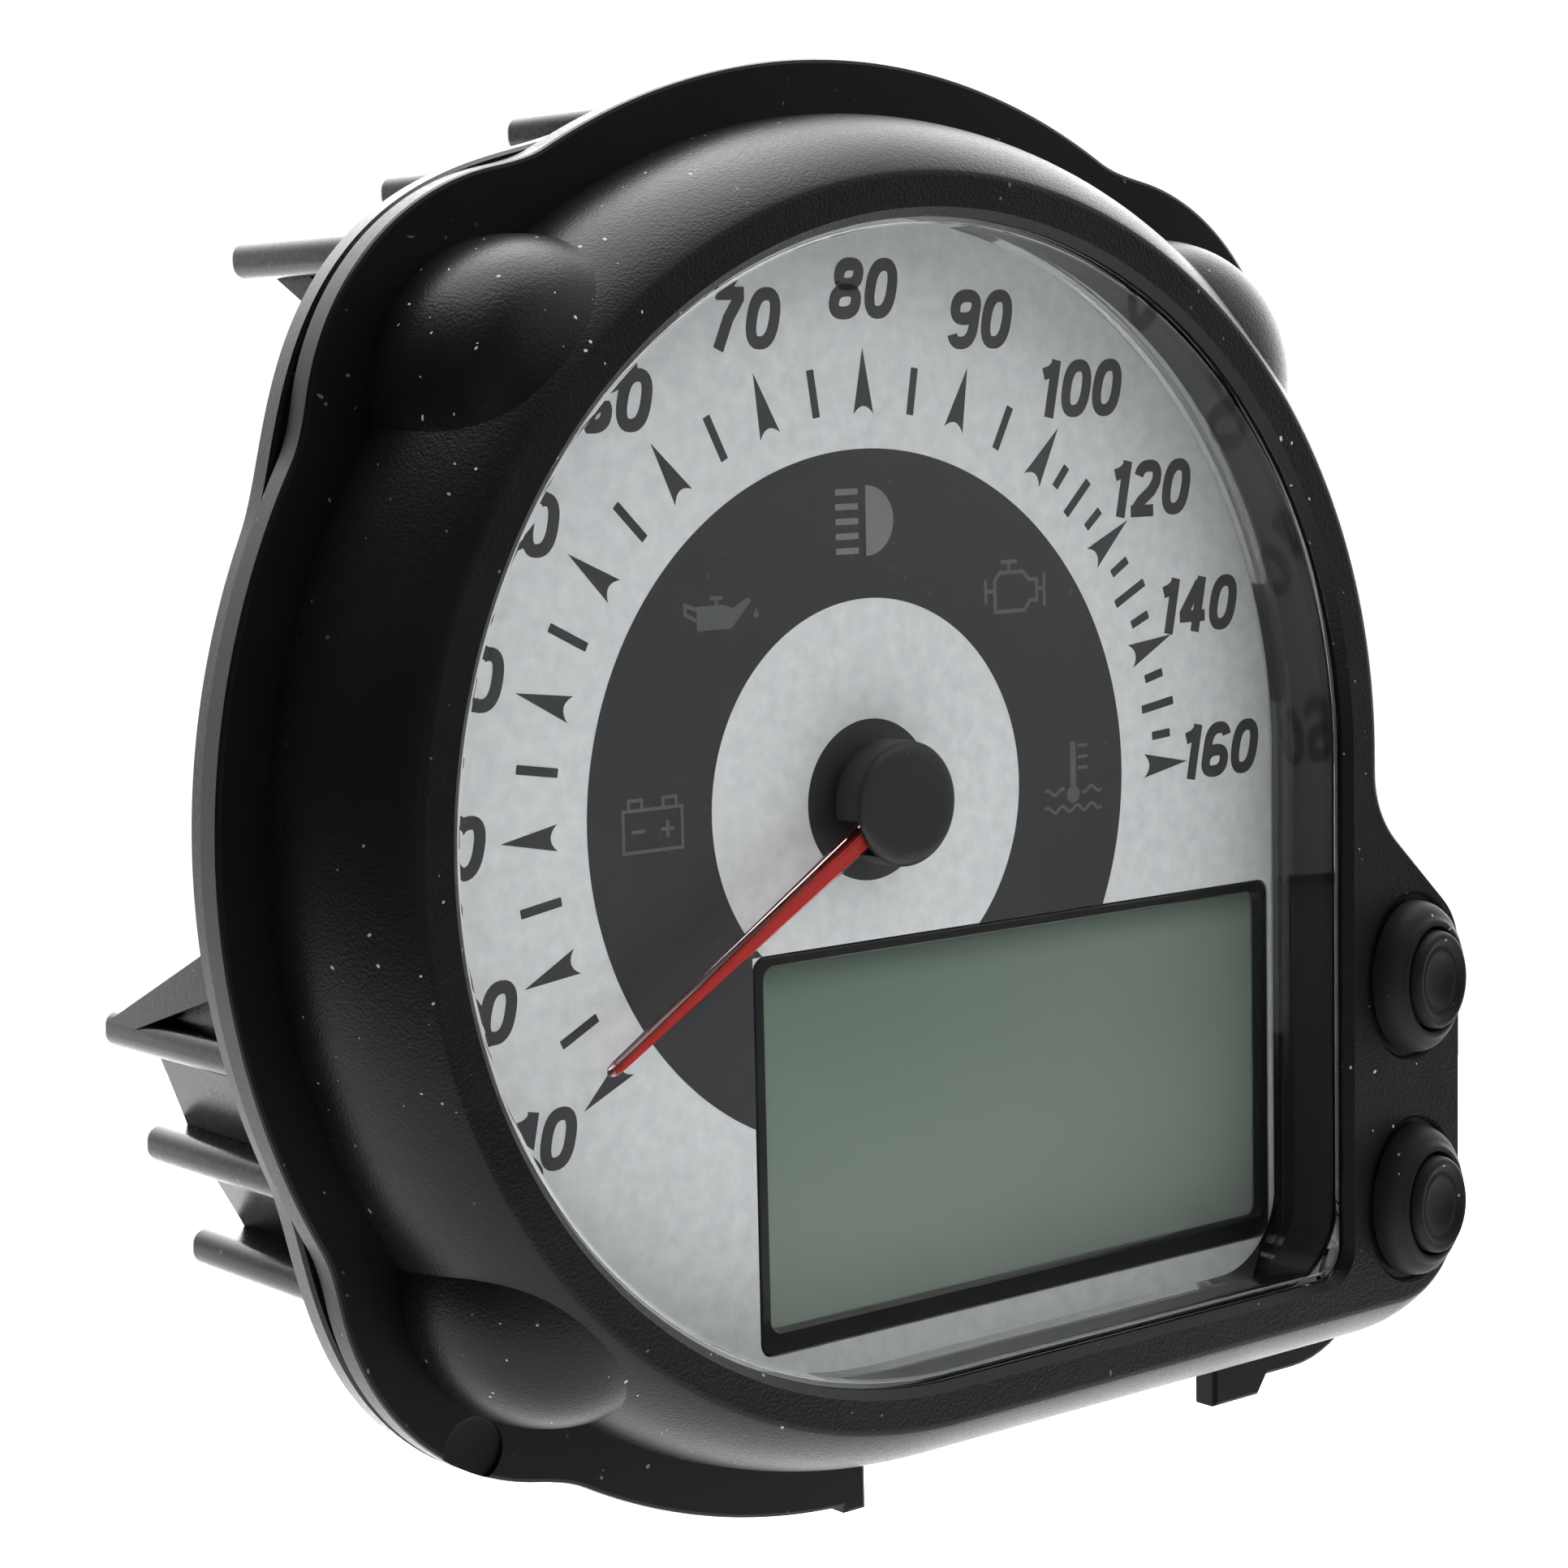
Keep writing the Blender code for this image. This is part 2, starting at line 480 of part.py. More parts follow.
def gusset(x, at_rib, at_flange):
    """Upright triangular wall under a rib's end, with a triangular pocket through it."""
    def wedge(name, grow, x0, x1):
        bm = bmesh.new()
        lean = 1.0 if at_rib > at_flange else -1.0
        corners = ((RIB_BACK - 1.5 - 3.2 * grow, at_rib), (7.0, at_rib), (7.0, at_flange + lean * 3.4 * grow))
        sides = [[bm.verts.new((side * MM, y * MM, z * MM)) for y, z in corners] for side in (x0, x1)]
        for i in range(3):
            j = (i + 1) % 3
            bm.faces.new((sides[0][i], sides[0][j], sides[1][j], sides[1][i]))
        bm.faces.new(sides[0])
        bm.faces.new(sides[1])
        return add(name, bm, None)
    wall = wedge("gusset_blank", 0.0, x, x + 3.1)
    pocket = wedge("gusset_pocket", 1.8, x - 1.0, x + 2.2)
    cut(wall, pocket)
    return wall


def rear_housing():
    housing = prism("rear_housing", rear_flange_outline(), FLANGE_BACK + GAP, 8.7, BLACK_PLAIN)
    fuse(housing, prism("tray_blank", case_outline(TRAY_R, TRAY_RIGHT, 10.0), 8.0, TRAY_BACK))
    bay = rounded([(-40.0, -18.6, 0.0), (-64.8, -18.6, 1.0), (-59.4, -33.0, 1.5), (-53.5, -43.3, 1.0),
                   (-20.0, -43.3, 0.0), (-30.2, -31.0, 0.0)], 2)
    fuse(housing, prism("tub_blank", circle(TUB_R, 48), 13.0, TUB_BACK), prism("bay_blank", bay, 8.1, 36.0))
    for left, right, z in RIBS:
        fuse(housing, rib(left, right, z))
    for x in (-14.0, 12.0):
        fuse(housing, block("web_blank", x, x + 2.0, 30.0, 69.0, 12.5, 35.0))
    for x, at_rib, at_flange in GUSSETS:
        fuse(housing, gusset(x, at_rib, at_flange))
    cut(housing, prism("tray_cutter", case_outline(TRAY_R - WALL, TRAY_RIGHT - WALL, 8.0), 4.0, 12.0))
    cut(housing, prism("tub_cutter", circle(TUB_R - WALL, 48), 11.0, TUB_BACK - WALL))
    for angle in MOUNT_ANGLES:
        fuse(housing, rod("boss_blank", 6.6, 32.6, 38.0, at=polar(MOUNT_R, angle), steps=20))
    fuse(housing, rod("pad_blank", 7.0, 35.6, DEPTH, steps=20))
    bay_hollow = rounded([(-41.5, -23.8, 0.0), (-60.0, -23.8, 1.0), (-56.0, -33.0, 1.0), (-52.6, -40.0, 1.0),
                          (-28.0, -40.0, 0.0), (-36.0, -33.0, 0.0)], 2)
    cut(housing, prism("bay_cutter", bay_hollow, 11.0, 33.8))
    seam = case_outline(66.9, 78.2, 11.0)
    groove = loft("seal_groove", [(seam, 5.0), (seam, 7.2), (case_outline(65.3, 76.7, 9.5), 7.2),
                                  (case_outline(65.3, 76.7, 9.5), 5.0)], ring=True)
    cut(housing, groove)
    cut(housing, block("socket_hole", -18.8, 18.8, -39.0, -25.0, 30.0, 42.0))
    for angle in LOBE_ANGLES:
        cut(housing, rod("screw_hole_case", 1.9, 4.0, 10.0, at=polar(SCREW_CENTRE, angle), steps=12))
    cut(housing, rod("screw_hole_panel", 1.7, 10.0, 16.0, at=PANEL_SCREW, steps=12))
    for angle in MOUNT_ANGLES:
        cut(housing, rod("insert_hole", 2.9, 32.0, 42.0, at=polar(MOUNT_R, angle), steps=16))
    cut(housing, rod("vent_hole", 2.3, 30.0, 42.0, at=VENT_AT, steps=16))
    loft("housing_seal", [(case_outline(66.6, 77.9, 10.7), 5.75), (case_outline(66.6, 77.9, 10.7), 6.9),
                          (case_outline(65.6, 77.0, 9.8), 6.9), (case_outline(65.6, 77.0, 9.8), 5.75)],
         RUBBER, ring=True)


def rear_fittings():
    for i, angle in enumerate(LOBE_ANGLES, 1):
        screw("case_screw_%d" % i, polar(SCREW_CENTRE, angle), 9.0, 3.2, 2.2, 1.5, -1.4)
    screw("case_screw_4", PANEL_SCREW, TRAY_BACK + GAP, 3.0, 2.0, 1.3, -1.4)
    for i, angle in enumerate(MOUNT_ANGLES, 1):
        at = polar(MOUNT_R, angle)
        washer("mount_insert_%d" % i, 1.65, 2.6, 33.0, 37.6, BRASS, at, steps=16)
        washer("mount_grommet_%d" % i, 3.0, 6.4, 38.3, DEPTH, RUBBER, at)
    shell = block("connector_shell", -18.5, 18.5, -38.7, -25.3, 28.0, 39.6, BLACK_PLAIN, radius=0.8)
    cut(shell, block("socket_cutter", -16.9, 16.9, -37.1, -26.9, 27.0, 42.0, radius=0.5))
    pins = block("connector_pins", -16.5, 16.5, -36.7, -27.3, 28.3, 31.0, BLACK_PLAIN)
    for column in range(6):
        for z in (-34.2, -29.8):
            x = -12.5 + 5.0 * column
            fuse(pins, block("pin_blank", x - 0.5, x + 0.5, z - 0.5, z + 0.5, 10.9, 34.5))
    turned("vent_plug", [(0.0, 34.0), (2.0, 34.0), (2.0, 37.3), (5.0, 37.3), (5.0, 38.4), (4.4, 39.0),
                         (0.0, 39.0)], RUBBER, VENT_AT)


def main():
    front_bezel()
    window_lens()
    dial_stack()
    circuit_board()
    stepper_motor()
    pointer()
    button("upper", BUTTON_Z[0])
    button("lower", BUTTON_Z[1])
    rear_housing()
    rear_fittings()


for old in list(bpy.data.objects):
    bpy.data.objects.remove(old, do_unlink=True)
FRAME = bpy.data.objects.new("dial_centre", None)
FRAME.location = (0.0, -DEPTH * MM, 0.0)
bpy.context.scene.collection.objects.link(FRAME)
main()
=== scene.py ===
import json
import math
import bmesh
import bpy
from mathutils import Matrix, Vector


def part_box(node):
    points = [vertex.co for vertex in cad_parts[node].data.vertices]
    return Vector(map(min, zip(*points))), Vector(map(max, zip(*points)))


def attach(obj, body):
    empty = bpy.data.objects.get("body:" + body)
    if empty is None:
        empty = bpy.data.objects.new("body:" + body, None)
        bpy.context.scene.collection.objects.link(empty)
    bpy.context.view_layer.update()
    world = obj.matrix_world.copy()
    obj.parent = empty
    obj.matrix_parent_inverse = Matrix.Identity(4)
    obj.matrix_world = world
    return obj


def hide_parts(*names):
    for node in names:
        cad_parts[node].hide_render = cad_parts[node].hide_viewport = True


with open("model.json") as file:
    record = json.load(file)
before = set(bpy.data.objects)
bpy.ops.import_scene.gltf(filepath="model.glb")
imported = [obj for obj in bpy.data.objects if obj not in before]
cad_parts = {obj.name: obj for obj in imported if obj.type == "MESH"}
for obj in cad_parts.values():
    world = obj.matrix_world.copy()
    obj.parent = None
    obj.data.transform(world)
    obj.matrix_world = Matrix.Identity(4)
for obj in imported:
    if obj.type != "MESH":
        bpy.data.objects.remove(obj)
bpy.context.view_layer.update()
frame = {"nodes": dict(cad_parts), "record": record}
nodes = frame["nodes"]
mm = 0.001
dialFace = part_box("dial_plate")[0][1]      # depth of the printed face
print("frame loaded,", len(nodes), "CAD nodes, dial face at", round(dialFace, 4))


# outlines across the cluster, in millimetres, x right and z up from the pointer's axis; depth runs backwards
case = dict(windowR=58.6, ringR=63.07, ringDepth=-13.0, shoulder=6.43, shoulderFoot=2.07, flangeDepth=2.02,
            flangeBack=5.4, flangeR=75.0, flangeFoot=-73.6, flangeRight=80.5, panelRight=77.2, bayTop=-19.9,
            bayR=8.0, neckZ=-6.5, neckR=11.0, lobeCentre=52.7, lobeR=26.9, lobeAngles=(45.0, 135.0, 225.0),
            podCentre=58.9, podR=15.6, podRise=14.6, podSquare=2.6, podFoot=3.4, arcSteps=180)


def polar(radius, degrees, centre=(0.0, 0.0)):
    a = math.radians(degrees)
    return (centre[0] + radius * math.cos(a), centre[1] + radius * math.sin(a))


def arcRun(centre, radius, start, end, steps):
    return [polar(radius, start + (end - start) * i / steps, centre) for i in range(steps + 1)]


def circleRun(radius, steps, centre=(0.0, 0.0)):
    return [polar(radius, 360.0 * i / steps, centre) for i in range(steps)]


def filletRun(corners, steps=8):
    points = []
    for i, (x, z, radius) in enumerate(corners):
        if radius <= 0.0:
            points.append((x, z))
            continue
        here, before, after = Vector((x, z)), corners[i - 1], corners[(i + 1) % len(corners)]
        a = (Vector(before[:2]) - here).normalized()
        b = (Vector(after[:2]) - here).normalized()
        half = a.angle(b) / 2.0
        centre = here + (a + b).normalized() * radius / math.sin(half)
        reach = radius / math.tan(half)
        first, last = here + a * reach - centre, here + b * reach - centre
        start = math.atan2(first.y, first.x)
        sweep = (math.atan2(last.y, last.x) - start + math.pi) % (2.0 * math.pi) - math.pi
        for k in range(steps + 1):
            points.append(polar(radius, math.degrees(start + sweep * k / steps), centre))
    return points


def boxRun(left, right, bottom, top, radius=0.0, steps=6):
    corners = ((left, bottom), (right, bottom), (right, top), (left, top))
    return filletRun([(x, z, radius) for x, z in corners], steps)


def windowRun(grow, corner):
    r = case["windowR"] + grow      # a circle whose lower right quarter is squared off
    turn = arcRun((r - corner, corner - r), corner, 270.0, 360.0, 12)
    return arcRun((0.0, 0.0), r, 0.0, 270.0, case["arcSteps"])[:-1] + turn[:-1]


def caseRun(radius, right, corner):
    neck = (radius, case["neckZ"], case["neckR"] + case["ringR"] - radius)
    bay = filletRun([(0.0, -radius, 0.0), (right, -radius, corner), (right, case["bayTop"], case["bayR"]),
                     neck, (radius, 0.0, 0.0)], 10)
    return arcRun((0.0, 0.0), radius, 0.0, 270.0, case["arcSteps"]) + bay[1:-1]


def lobedRun(base, lobe, soften, start=-6.0, end=267.5, steps=320):
    points = []
    for i in range(steps + 1):
        degrees = start + (end - start) * i / steps
        off = min(abs((degrees - at + 180.0) % 360.0 - 180.0) for at in case["lobeAngles"])
        across, reach = case["lobeCentre"] * math.sin(math.radians(off)), base
        if abs(across) < lobe:
            bump = case["lobeCentre"] * math.cos(math.radians(off)) + math.sqrt(lobe ** 2 - across ** 2)
            gap = max(0.0, 1.0 - abs(bump - base) / soften)
            reach = max(base, bump) + soften * gap * gap / 4.0
        points.append(polar(reach, degrees))
    return points


# mesh helpers
def linked(name, data):
    thing = bpy.data.objects.new(name, data)
    bpy.context.scene.collection.objects.link(thing)
    return thing


def shade(mesh, sharp=32.0):
    mesh.shade_smooth()
    mesh.set_sharp_from_angle(angle=math.radians(sharp))


def newPiece(name, bm, finish=None, sharp=32.0):
    bmesh.ops.recalc_face_normals(bm, faces=bm.faces)
    mesh = bpy.data.meshes.new(name)
    bm.to_mesh(mesh)
    bm.free()
    shade(mesh, sharp)
    if finish:
        mesh.materials.append(finish)
    return linked(name, mesh)


def row(bm, outline, depth):
    return [bm.verts.new((x * mm, dialFace + depth * mm, z * mm)) for x, z in outline]


def joinRows(bm, rows, ring=False):
    for low, high in list(zip(rows, rows[1:])) + ([(rows[-1], rows[0])] if ring else []):
        for i in range(len(low)):
            j = (i + 1) % len(low)
            bm.faces.new((low[i], low[j], high[j], high[i]))
    if not ring:
        bm.faces.new(rows[0])
        bm.faces.new(rows[-1])


def stack(run, *steps):
    # one kind of outline at several depths: a step holds the outline's own values, then its depth
    return [(run(*step[:-1]), step[-1]) for step in steps]


def loft(name, loops, finish=None, ring=False, sharp=32.0):
    bm = bmesh.new()
    joinRows(bm, [row(bm, outline, depth) for outline, depth in loops], ring)
    return newPiece(name, bm, finish, sharp)


def slab(name, outline, front, back, finish=None):
    return loft(name, [(outline, front), (outline, back)], finish)


def turned(name, profile, finish=None, centre=(0.0, 0.0), steps=64, flat=1.0, sharp=32.0):
    # the profile runs as (radius, depth), with both ends on the axis or as a closed ring
    bm = bmesh.new()
    rows = []
    for radius, depth in profile:
        spots = circleRun(radius, steps) if radius > 0.0 else [(0.0, 0.0)]
        rows.append(row(bm, [(centre[0] + x * flat, centre[1] + z) for x, z in spots], depth))
    closed = len(rows[0]) > 1
    for low, high in list(zip(rows, rows[1:])) + ([(rows[-1], rows[0])] if closed else []):
        for i in range(steps):
            j = (i + 1) % steps
            corners = [low[i % len(low)], low[j % len(low)], high[j % len(high)], high[i % len(high)]]
            face = [v for k, v in enumerate(corners) if v not in corners[:k]]
            if len(face) > 2:
                bm.faces.new(face)
    return newPiece(name, bm, finish, sharp)


def plug(name, radius, front, back, centre=(0.0, 0.0), steps=32):
    return turned(name, [(0.0, front), (radius, front), (radius, back), (0.0, back)], None, centre, steps)


def settle(piece):
    # what the modifiers make becomes the piece's plain mesh
    made = bpy.data.meshes.new_from_object(piece.evaluated_get(bpy.context.evaluated_depsgraph_get()))
    piece.modifiers.clear()
    piece.data = made
    shade(made)


def carve(piece, how, *tools):
    for tool in tools:
        step = piece.modifiers.new(how, "BOOLEAN")
        step.operation = how
        step.object = tool
    settle(piece)
    for tool in tools:
        bpy.data.objects.remove(tool, do_unlink=True)


def repaint(piece, *finishes):
    piece.data.materials.clear()
    for finish in finishes:
        piece.data.materials.append(finish)


def evenNormals(piece):
    step = piece.modifiers.new("even normals", "WEIGHTED_NORMAL")
    step.keep_sharp = True
    step.weight = 100


def give(piece, body, slot, *replaced):
    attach(piece, body)
    if replaced:
        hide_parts(*replaced)


# shader groups
def wire(tree, *pairs):
    for source, target in pairs:
        tree.links.new(source, target)


def feed(tree, socket, value):
    # an output is wired in, a number or a colour is set on the socket
    if isinstance(value, bpy.types.NodeSocket):
        tree.links.new(value, socket)
    elif socket.type == "RGBA":
        socket.default_value = (*value, 1.0)
    else:
        socket.default_value = value


def addNode(tree, kind, **values):
    node = tree.nodes.new(kind)
    for key, value in values.items():
        feed(tree, node.inputs[key.replace("_", " ")], value)
    return node


def newGroup(name, inputs, outputs):
    group = bpy.data.node_groups.new(name, "ShaderNodeTree")
    for label, value in inputs.items():
        socket = group.interface.new_socket(name=label, in_out="INPUT", socket_type="NodeSocketFloat")
        socket.default_value = value
    for label in outputs:
        group.interface.new_socket(name=label, in_out="OUTPUT", socket_type="NodeSocketFloat")
    return group, group.nodes.new("NodeGroupInput"), group.nodes.new("NodeGroupOutput")


def ownPlace(tree):
    return tree.nodes.new("ShaderNodeTexCoord").outputs["Object"]


def noiseNode(tree, vector, scale, detail=3.0, roughness=0.5):
    return addNode(tree, "ShaderNodeTexNoise", Vector=vector, Scale=scale, Detail=detail, Roughness=roughness)


def mathNode(tree, operation, a, b=0.0, clamp=False):
    node = tree.nodes.new("ShaderNodeMath")
    node.operation, node.use_clamp = operation, clamp
    feed(tree, node.inputs[0], a)
    feed(tree, node.inputs[1], b)
    return node.outputs[0]


def times(tree, a, b):
    return mathNode(tree, "MULTIPLY", a, b)


def vectorNode(tree, operation, *values):
    node = tree.nodes.new("ShaderNodeVectorMath")
    node.operation = operation
    for socket, value in zip(node.inputs, values):
        feed(tree, socket, value)
    return node


def rampNode(tree, value, low, high):
    node = addNode(tree, "ShaderNodeMapRange", Value=value, From_Min=low, From_Max=high)
    node.interpolation_type = "SMOOTHSTEP"
    return node.outputs["Result"]


def pebbleGroup():
    # moulded leather-like grain: small rounded bumps with dark lanes between them
    grain = dict(warpScale=1400.0, warp=0.0003, softness=0.7, fineScale=5200.0, fineShare=0.35,
                 lanes=(0.25, 0.7))
    tree, given, out = newGroup("pebble grain", dict(Scale=2600.0), ("Height", "Lanes"))
    where = ownPlace(tree)
    push = vectorNode(tree, "SCALE", noiseNode(tree, where, grain["warpScale"], 1.0).outputs["Color"])
    push.inputs["Scale"].default_value = grain["warp"]
    moved = vectorNode(tree, "ADD", where, push.outputs[0])
    cells = tree.nodes.new("ShaderNodeTexVoronoi")
    cells.feature = "SMOOTH_F1"
    cells.inputs["Smoothness"].default_value = grain["softness"]
    wire(tree, (moved.outputs[0], cells.inputs["Vector"]), (given.outputs["Scale"], cells.inputs["Scale"]))
    bumps = mathNode(tree, "SUBTRACT", 1.0, cells.outputs["Distance"], clamp=True)
    fine = times(tree, noiseNode(tree, where, grain["fineScale"], 2.0).outputs["Fac"], grain["fineShare"])
    wire(tree, (mathNode(tree, "ADD", bumps, fine), out.inputs["Height"]),
         (rampNode(tree, cells.outputs["Distance"], *grain["lanes"]), out.inputs["Lanes"]))
    return tree


def dustGroup():
    # pale specks and short fibres that have settled in patches, over a thin film
    # scale, stretch, turn, size and the share of cells left clean
    specks = ((560.0, (1.0, 1.0, 1.0), (0.0, 0.0, 0.0), 0.150, 0.90),
              (1000.0, (1.0, 1.0, 1.0), (0.4, 0.2, 0.0), 0.220, 0.84),
              (260.0, (0.16, 1.0, 1.0), (0.3, 0.5, 0.9), 0.070, 0.80),
              (240.0, (1.0, 1.0, 0.14), (0.2, 0.9, 0.3), 0.064, 0.82))
    bendScale, bend, patchScale, filmScale, filmShare = 160.0, 0.004, 34.0, 70.0, 0.006
    tree, given, out = newGroup("settled dust", dict(Amount=0.5), ("Mask",))
    where, amount = ownPlace(tree), given.outputs["Amount"]
    total = None
    for scale, stretch, turn, size, share in specks:
        lean = vectorNode(tree, "MULTIPLY_ADD", noiseNode(tree, where, bendScale, 1.0).outputs["Color"],
                          (bend, bend, bend), where)
        mapping = addNode(tree, "ShaderNodeMapping", Vector=lean.outputs[0], Rotation=turn, Scale=stretch)
        cells = addNode(tree, "ShaderNodeTexVoronoi", Vector=mapping.outputs[0], Scale=scale)
        chosen = tree.nodes.new("ShaderNodeSeparateColor")
        wire(tree, (cells.outputs["Color"], chosen.inputs[0]))
        near = mathNode(tree, "LESS_THAN", cells.outputs["Distance"], times(tree, chosen.outputs[1], size))
        mask = times(tree, mathNode(tree, "GREATER_THAN", chosen.outputs[0], share), near)
        total = mask if total is None else mathNode(tree, "MAXIMUM", total, mask)
    patches = rampNode(tree, noiseNode(tree, where, patchScale, 2.0).outputs["Fac"], 0.42, 0.62)
    total = times(tree, total, times(tree, patches, amount))
    film = rampNode(tree, noiseNode(tree, where, filmScale, 5.0, 0.65).outputs["Fac"], 0.5, 0.8)
    film = times(tree, film, times(tree, amount, filmShare))
    wire(tree, (mathNode(tree, "MAXIMUM", total, film, clamp=True), out.inputs["Mask"]))
    return tree


def mottleGroup():
    # slow uneven tone, as moulding flow and handling leave
    tree, given, out = newGroup("mottled tone", dict(Scale=60.0), ("Tone",))
    noise = noiseNode(tree, ownPlace(tree), given.outputs["Scale"], 5.0, 0.6)
    wire(tree, (noise.outputs["Fac"], out.inputs["Tone"]))
    return tree


shared = dict(pebble=pebbleGroup(), dust=dustGroup(), mottle=mottleGroup())


def placeGroup(tree, name, **values):
    node = tree.nodes.new("ShaderNodeGroup")
    node.node_tree = shared[name]
    for key, value in values.items():
        node.inputs[key].default_value = value
    return node


def colourMix(tree, factor, a, b):
    node = tree.nodes.new("ShaderNodeMix")
    node.data_type = "RGBA"
    for index, value in ((0, factor), (6, a), (7, b)):      # the colour sockets of a node that has many kinds
        feed(tree, node.inputs[index], value)
    return node.outputs[2]


def plainFinish(name, roughness=0.5, metallic=0.0, **others):
    finish = bpy.data.materials.new(name)
    finish.use_nodes = True
    tree = finish.node_tree
    shader = tree.nodes["Principled BSDF"]
    for key, value in dict(Roughness=roughness, Metallic=metallic, **others).items():
        feed(tree, shader.inputs[key.replace("_", " ")], value)
    return finish, tree, shader


def mouldedFinish(name, colour, roughness=0.5, spread=0.08, grain=0.0, grainScale=2600.0, tone=60.0,
                  dust=0.0, dustColour=(0.42, 0.40, 0.36), metallic=0.0, **others):
    finish, tree, shader = plainFinish(name, roughness, metallic, **others)
    mottle = placeGroup(tree, "mottle", Scale=tone).outputs["Tone"]
    light = tuple(min(1.0, c * 1.25 + 0.001) for c in colour)
    dark = tuple(c * 0.78 for c in colour)
    paint = colourMix(tree, mottle, dark, light)
    rough = mathNode(tree, "ADD", roughness - spread, times(tree, mottle, 2.0 * spread))
    if dust:
        mask = placeGroup(tree, "dust", Amount=dust).outputs["Mask"]
        paint = colourMix(tree, mask, paint, dustColour)
        rough = mathNode(tree, "ADD", rough, times(tree, mask, 0.4), clamp=True)
    if grain:
        pebble = placeGroup(tree, "pebble", Scale=grainScale)
        rough = mathNode(tree, "ADD", rough, times(tree, pebble.outputs["Lanes"], 0.06), clamp=True)
        bump = addNode(tree, "ShaderNodeBump", Height=pebble.outputs["Height"], Strength=1.0,
                       Distance=grain * mm)
        wire(tree, (bump.outputs[0], shader.inputs["Normal"]))
    wire(tree, (paint, shader.inputs["Base Color"]), (rough, shader.inputs["Roughness"]))
    return finish


def clearFinish(name, tint, roughness=0.02, shadow=0.93, index=1.49):
    # clear plastic; shadow rays pass so that what is behind it is lit
    finish, tree, shader = plainFinish(name, roughness, IOR=index, Transmission_Weight=1.0, Base_Color=tint)
    haze = placeGroup(tree, "mottle", Scale=45.0).outputs["Tone"]
    path, mix = (tree.nodes.new("ShaderNode" + kind) for kind in ("LightPath", "MixShader"))
    through = addNode(tree, "ShaderNodeBsdfTransparent", Color=(shadow, shadow, shadow))
    wire(tree, (times(tree, haze, roughness * 2.0), shader.inputs["Roughness"]),
         (path.outputs["Is Shadow Ray"], mix.inputs[0]), (shader.outputs[0], mix.inputs[1]),
         (through.outputs[0], mix.inputs[2]),
         (mix.outputs[0], tree.nodes["Material Output"].inputs["Surface"]))
    return finish


bezelGrain = mouldedFinish("grained black plastic", (0.004, 0.004, 0.005), 0.33, 0.05, grain=0.028,
                           grainScale=3200.0, dust=1.0, Specular_IOR_Level=0.12)
flangeBlack = mouldedFinish("smooth black flange", (0.003, 0.003, 0.0036), 0.30, 0.06, grain=0.005,
                            dust=0.4, Specular_IOR_Level=0.10)
glossBlack = mouldedFinish("polished black wall", (0.005, 0.005, 0.006), 0.10, 0.03, tone=80.0)
rearBlack = mouldedFinish("satin black moulding", (0.0035, 0.0035, 0.004), 0.22, 0.05, grain=0.004,
                          grainScale=1900.0, tone=90.0, dust=0.25, Specular_IOR_Level=0.2)
fittingBlack = mouldedFinish("connector black", (0.016, 0.016, 0.017), 0.36, 0.06, tone=120.0, dust=0.2)
buttonRubber = mouldedFinish("dusty black rubber", (0.007, 0.007, 0.007), 0.58, 0.14, grain=0.012,
                             grainScale=3000.0, tone=220.0, dust=2.5, dustColour=(0.30, 0.28, 0.25),
                             Specular_IOR_Level=0.14)
sealRubber = mouldedFinish("seal rubber", (0.016, 0.016, 0.016), 0.7, tone=150.0)
capBlack = mouldedFinish("pointer cap black", (0.007, 0.007, 0.008), 0.46, 0.05, grain=0.014,
                         grainScale=3600.0, dust=0.12)
displayBlack = mouldedFinish("display frame black", (0.010, 0.010, 0.011), 0.30, 0.05, tone=130.0)
dialSilver = mouldedFinish("silver white dial", (0.79, 0.82, 0.825), 0.48, 0.04, grain=0.002,
                           grainScale=7000.0, tone=500.0)
printDark = mouldedFinish("charcoal print", (0.030, 0.030, 0.034), 0.55, 0.04, tone=300.0, dust=0.12)
printGrey = mouldedFinish("grey black print", (0.042, 0.042, 0.046), 0.55, 0.04, tone=300.0)
symbolDim = mouldedFinish("unlit symbol", (0.105, 0.108, 0.108), 0.5, 0.04, tone=300.0)
symbolPale = mouldedFinish("pale unlit symbol", (0.20, 0.205, 0.20), 0.5, 0.04, tone=300.0)
milkPlastic = mouldedFinish("milky diffuser", (0.80, 0.81, 0.79), 0.5, 0.05, tone=100.0)
boardGreen = mouldedFinish("solder mask green", (0.02, 0.15, 0.06), 0.35, 0.06, tone=400.0)
motorGrey = mouldedFinish("motor case grey", (0.55, 0.54, 0.50), 0.5, 0.06, tone=150.0)
gearPlastic = mouldedFinish("gear plastic", (0.72, 0.71, 0.66), 0.42, 0.05, tone=260.0)
pinkRubber = mouldedFinish("contact rubber", (0.62, 0.34, 0.38), 0.6, 0.06, tone=300.0)
screwSteel = mouldedFinish("plated steel", (0.55, 0.55, 0.56), 0.26, tone=600.0, metallic=1.0)
insertBrass = mouldedFinish("turned brass", (0.70, 0.50, 0.20), 0.28, tone=700.0, metallic=1.0)
coilCopper = mouldedFinish("copper winding", (0.70, 0.30, 0.14), 0.32, 0.06, tone=900.0, metallic=1.0)
magnetGrey = mouldedFinish("bonded magnet", (0.09, 0.09, 0.10), 0.5, 0.06, tone=260.0, metallic=0.5)
lensClear = clearFinish("clear lens", (0.97, 0.98, 0.985), 0.012, index=1.36)
guideClear = clearFinish("clear light guide", (0.95, 0.97, 0.98), 0.03)
bladeClear = clearFinish("clear pointer body", (0.98, 0.80, 0.78), 0.05, 0.9)
stripeRed = mouldedFinish("pointer red", (0.43, 0.018, 0.012), 0.34, 0.04, tone=300.0)


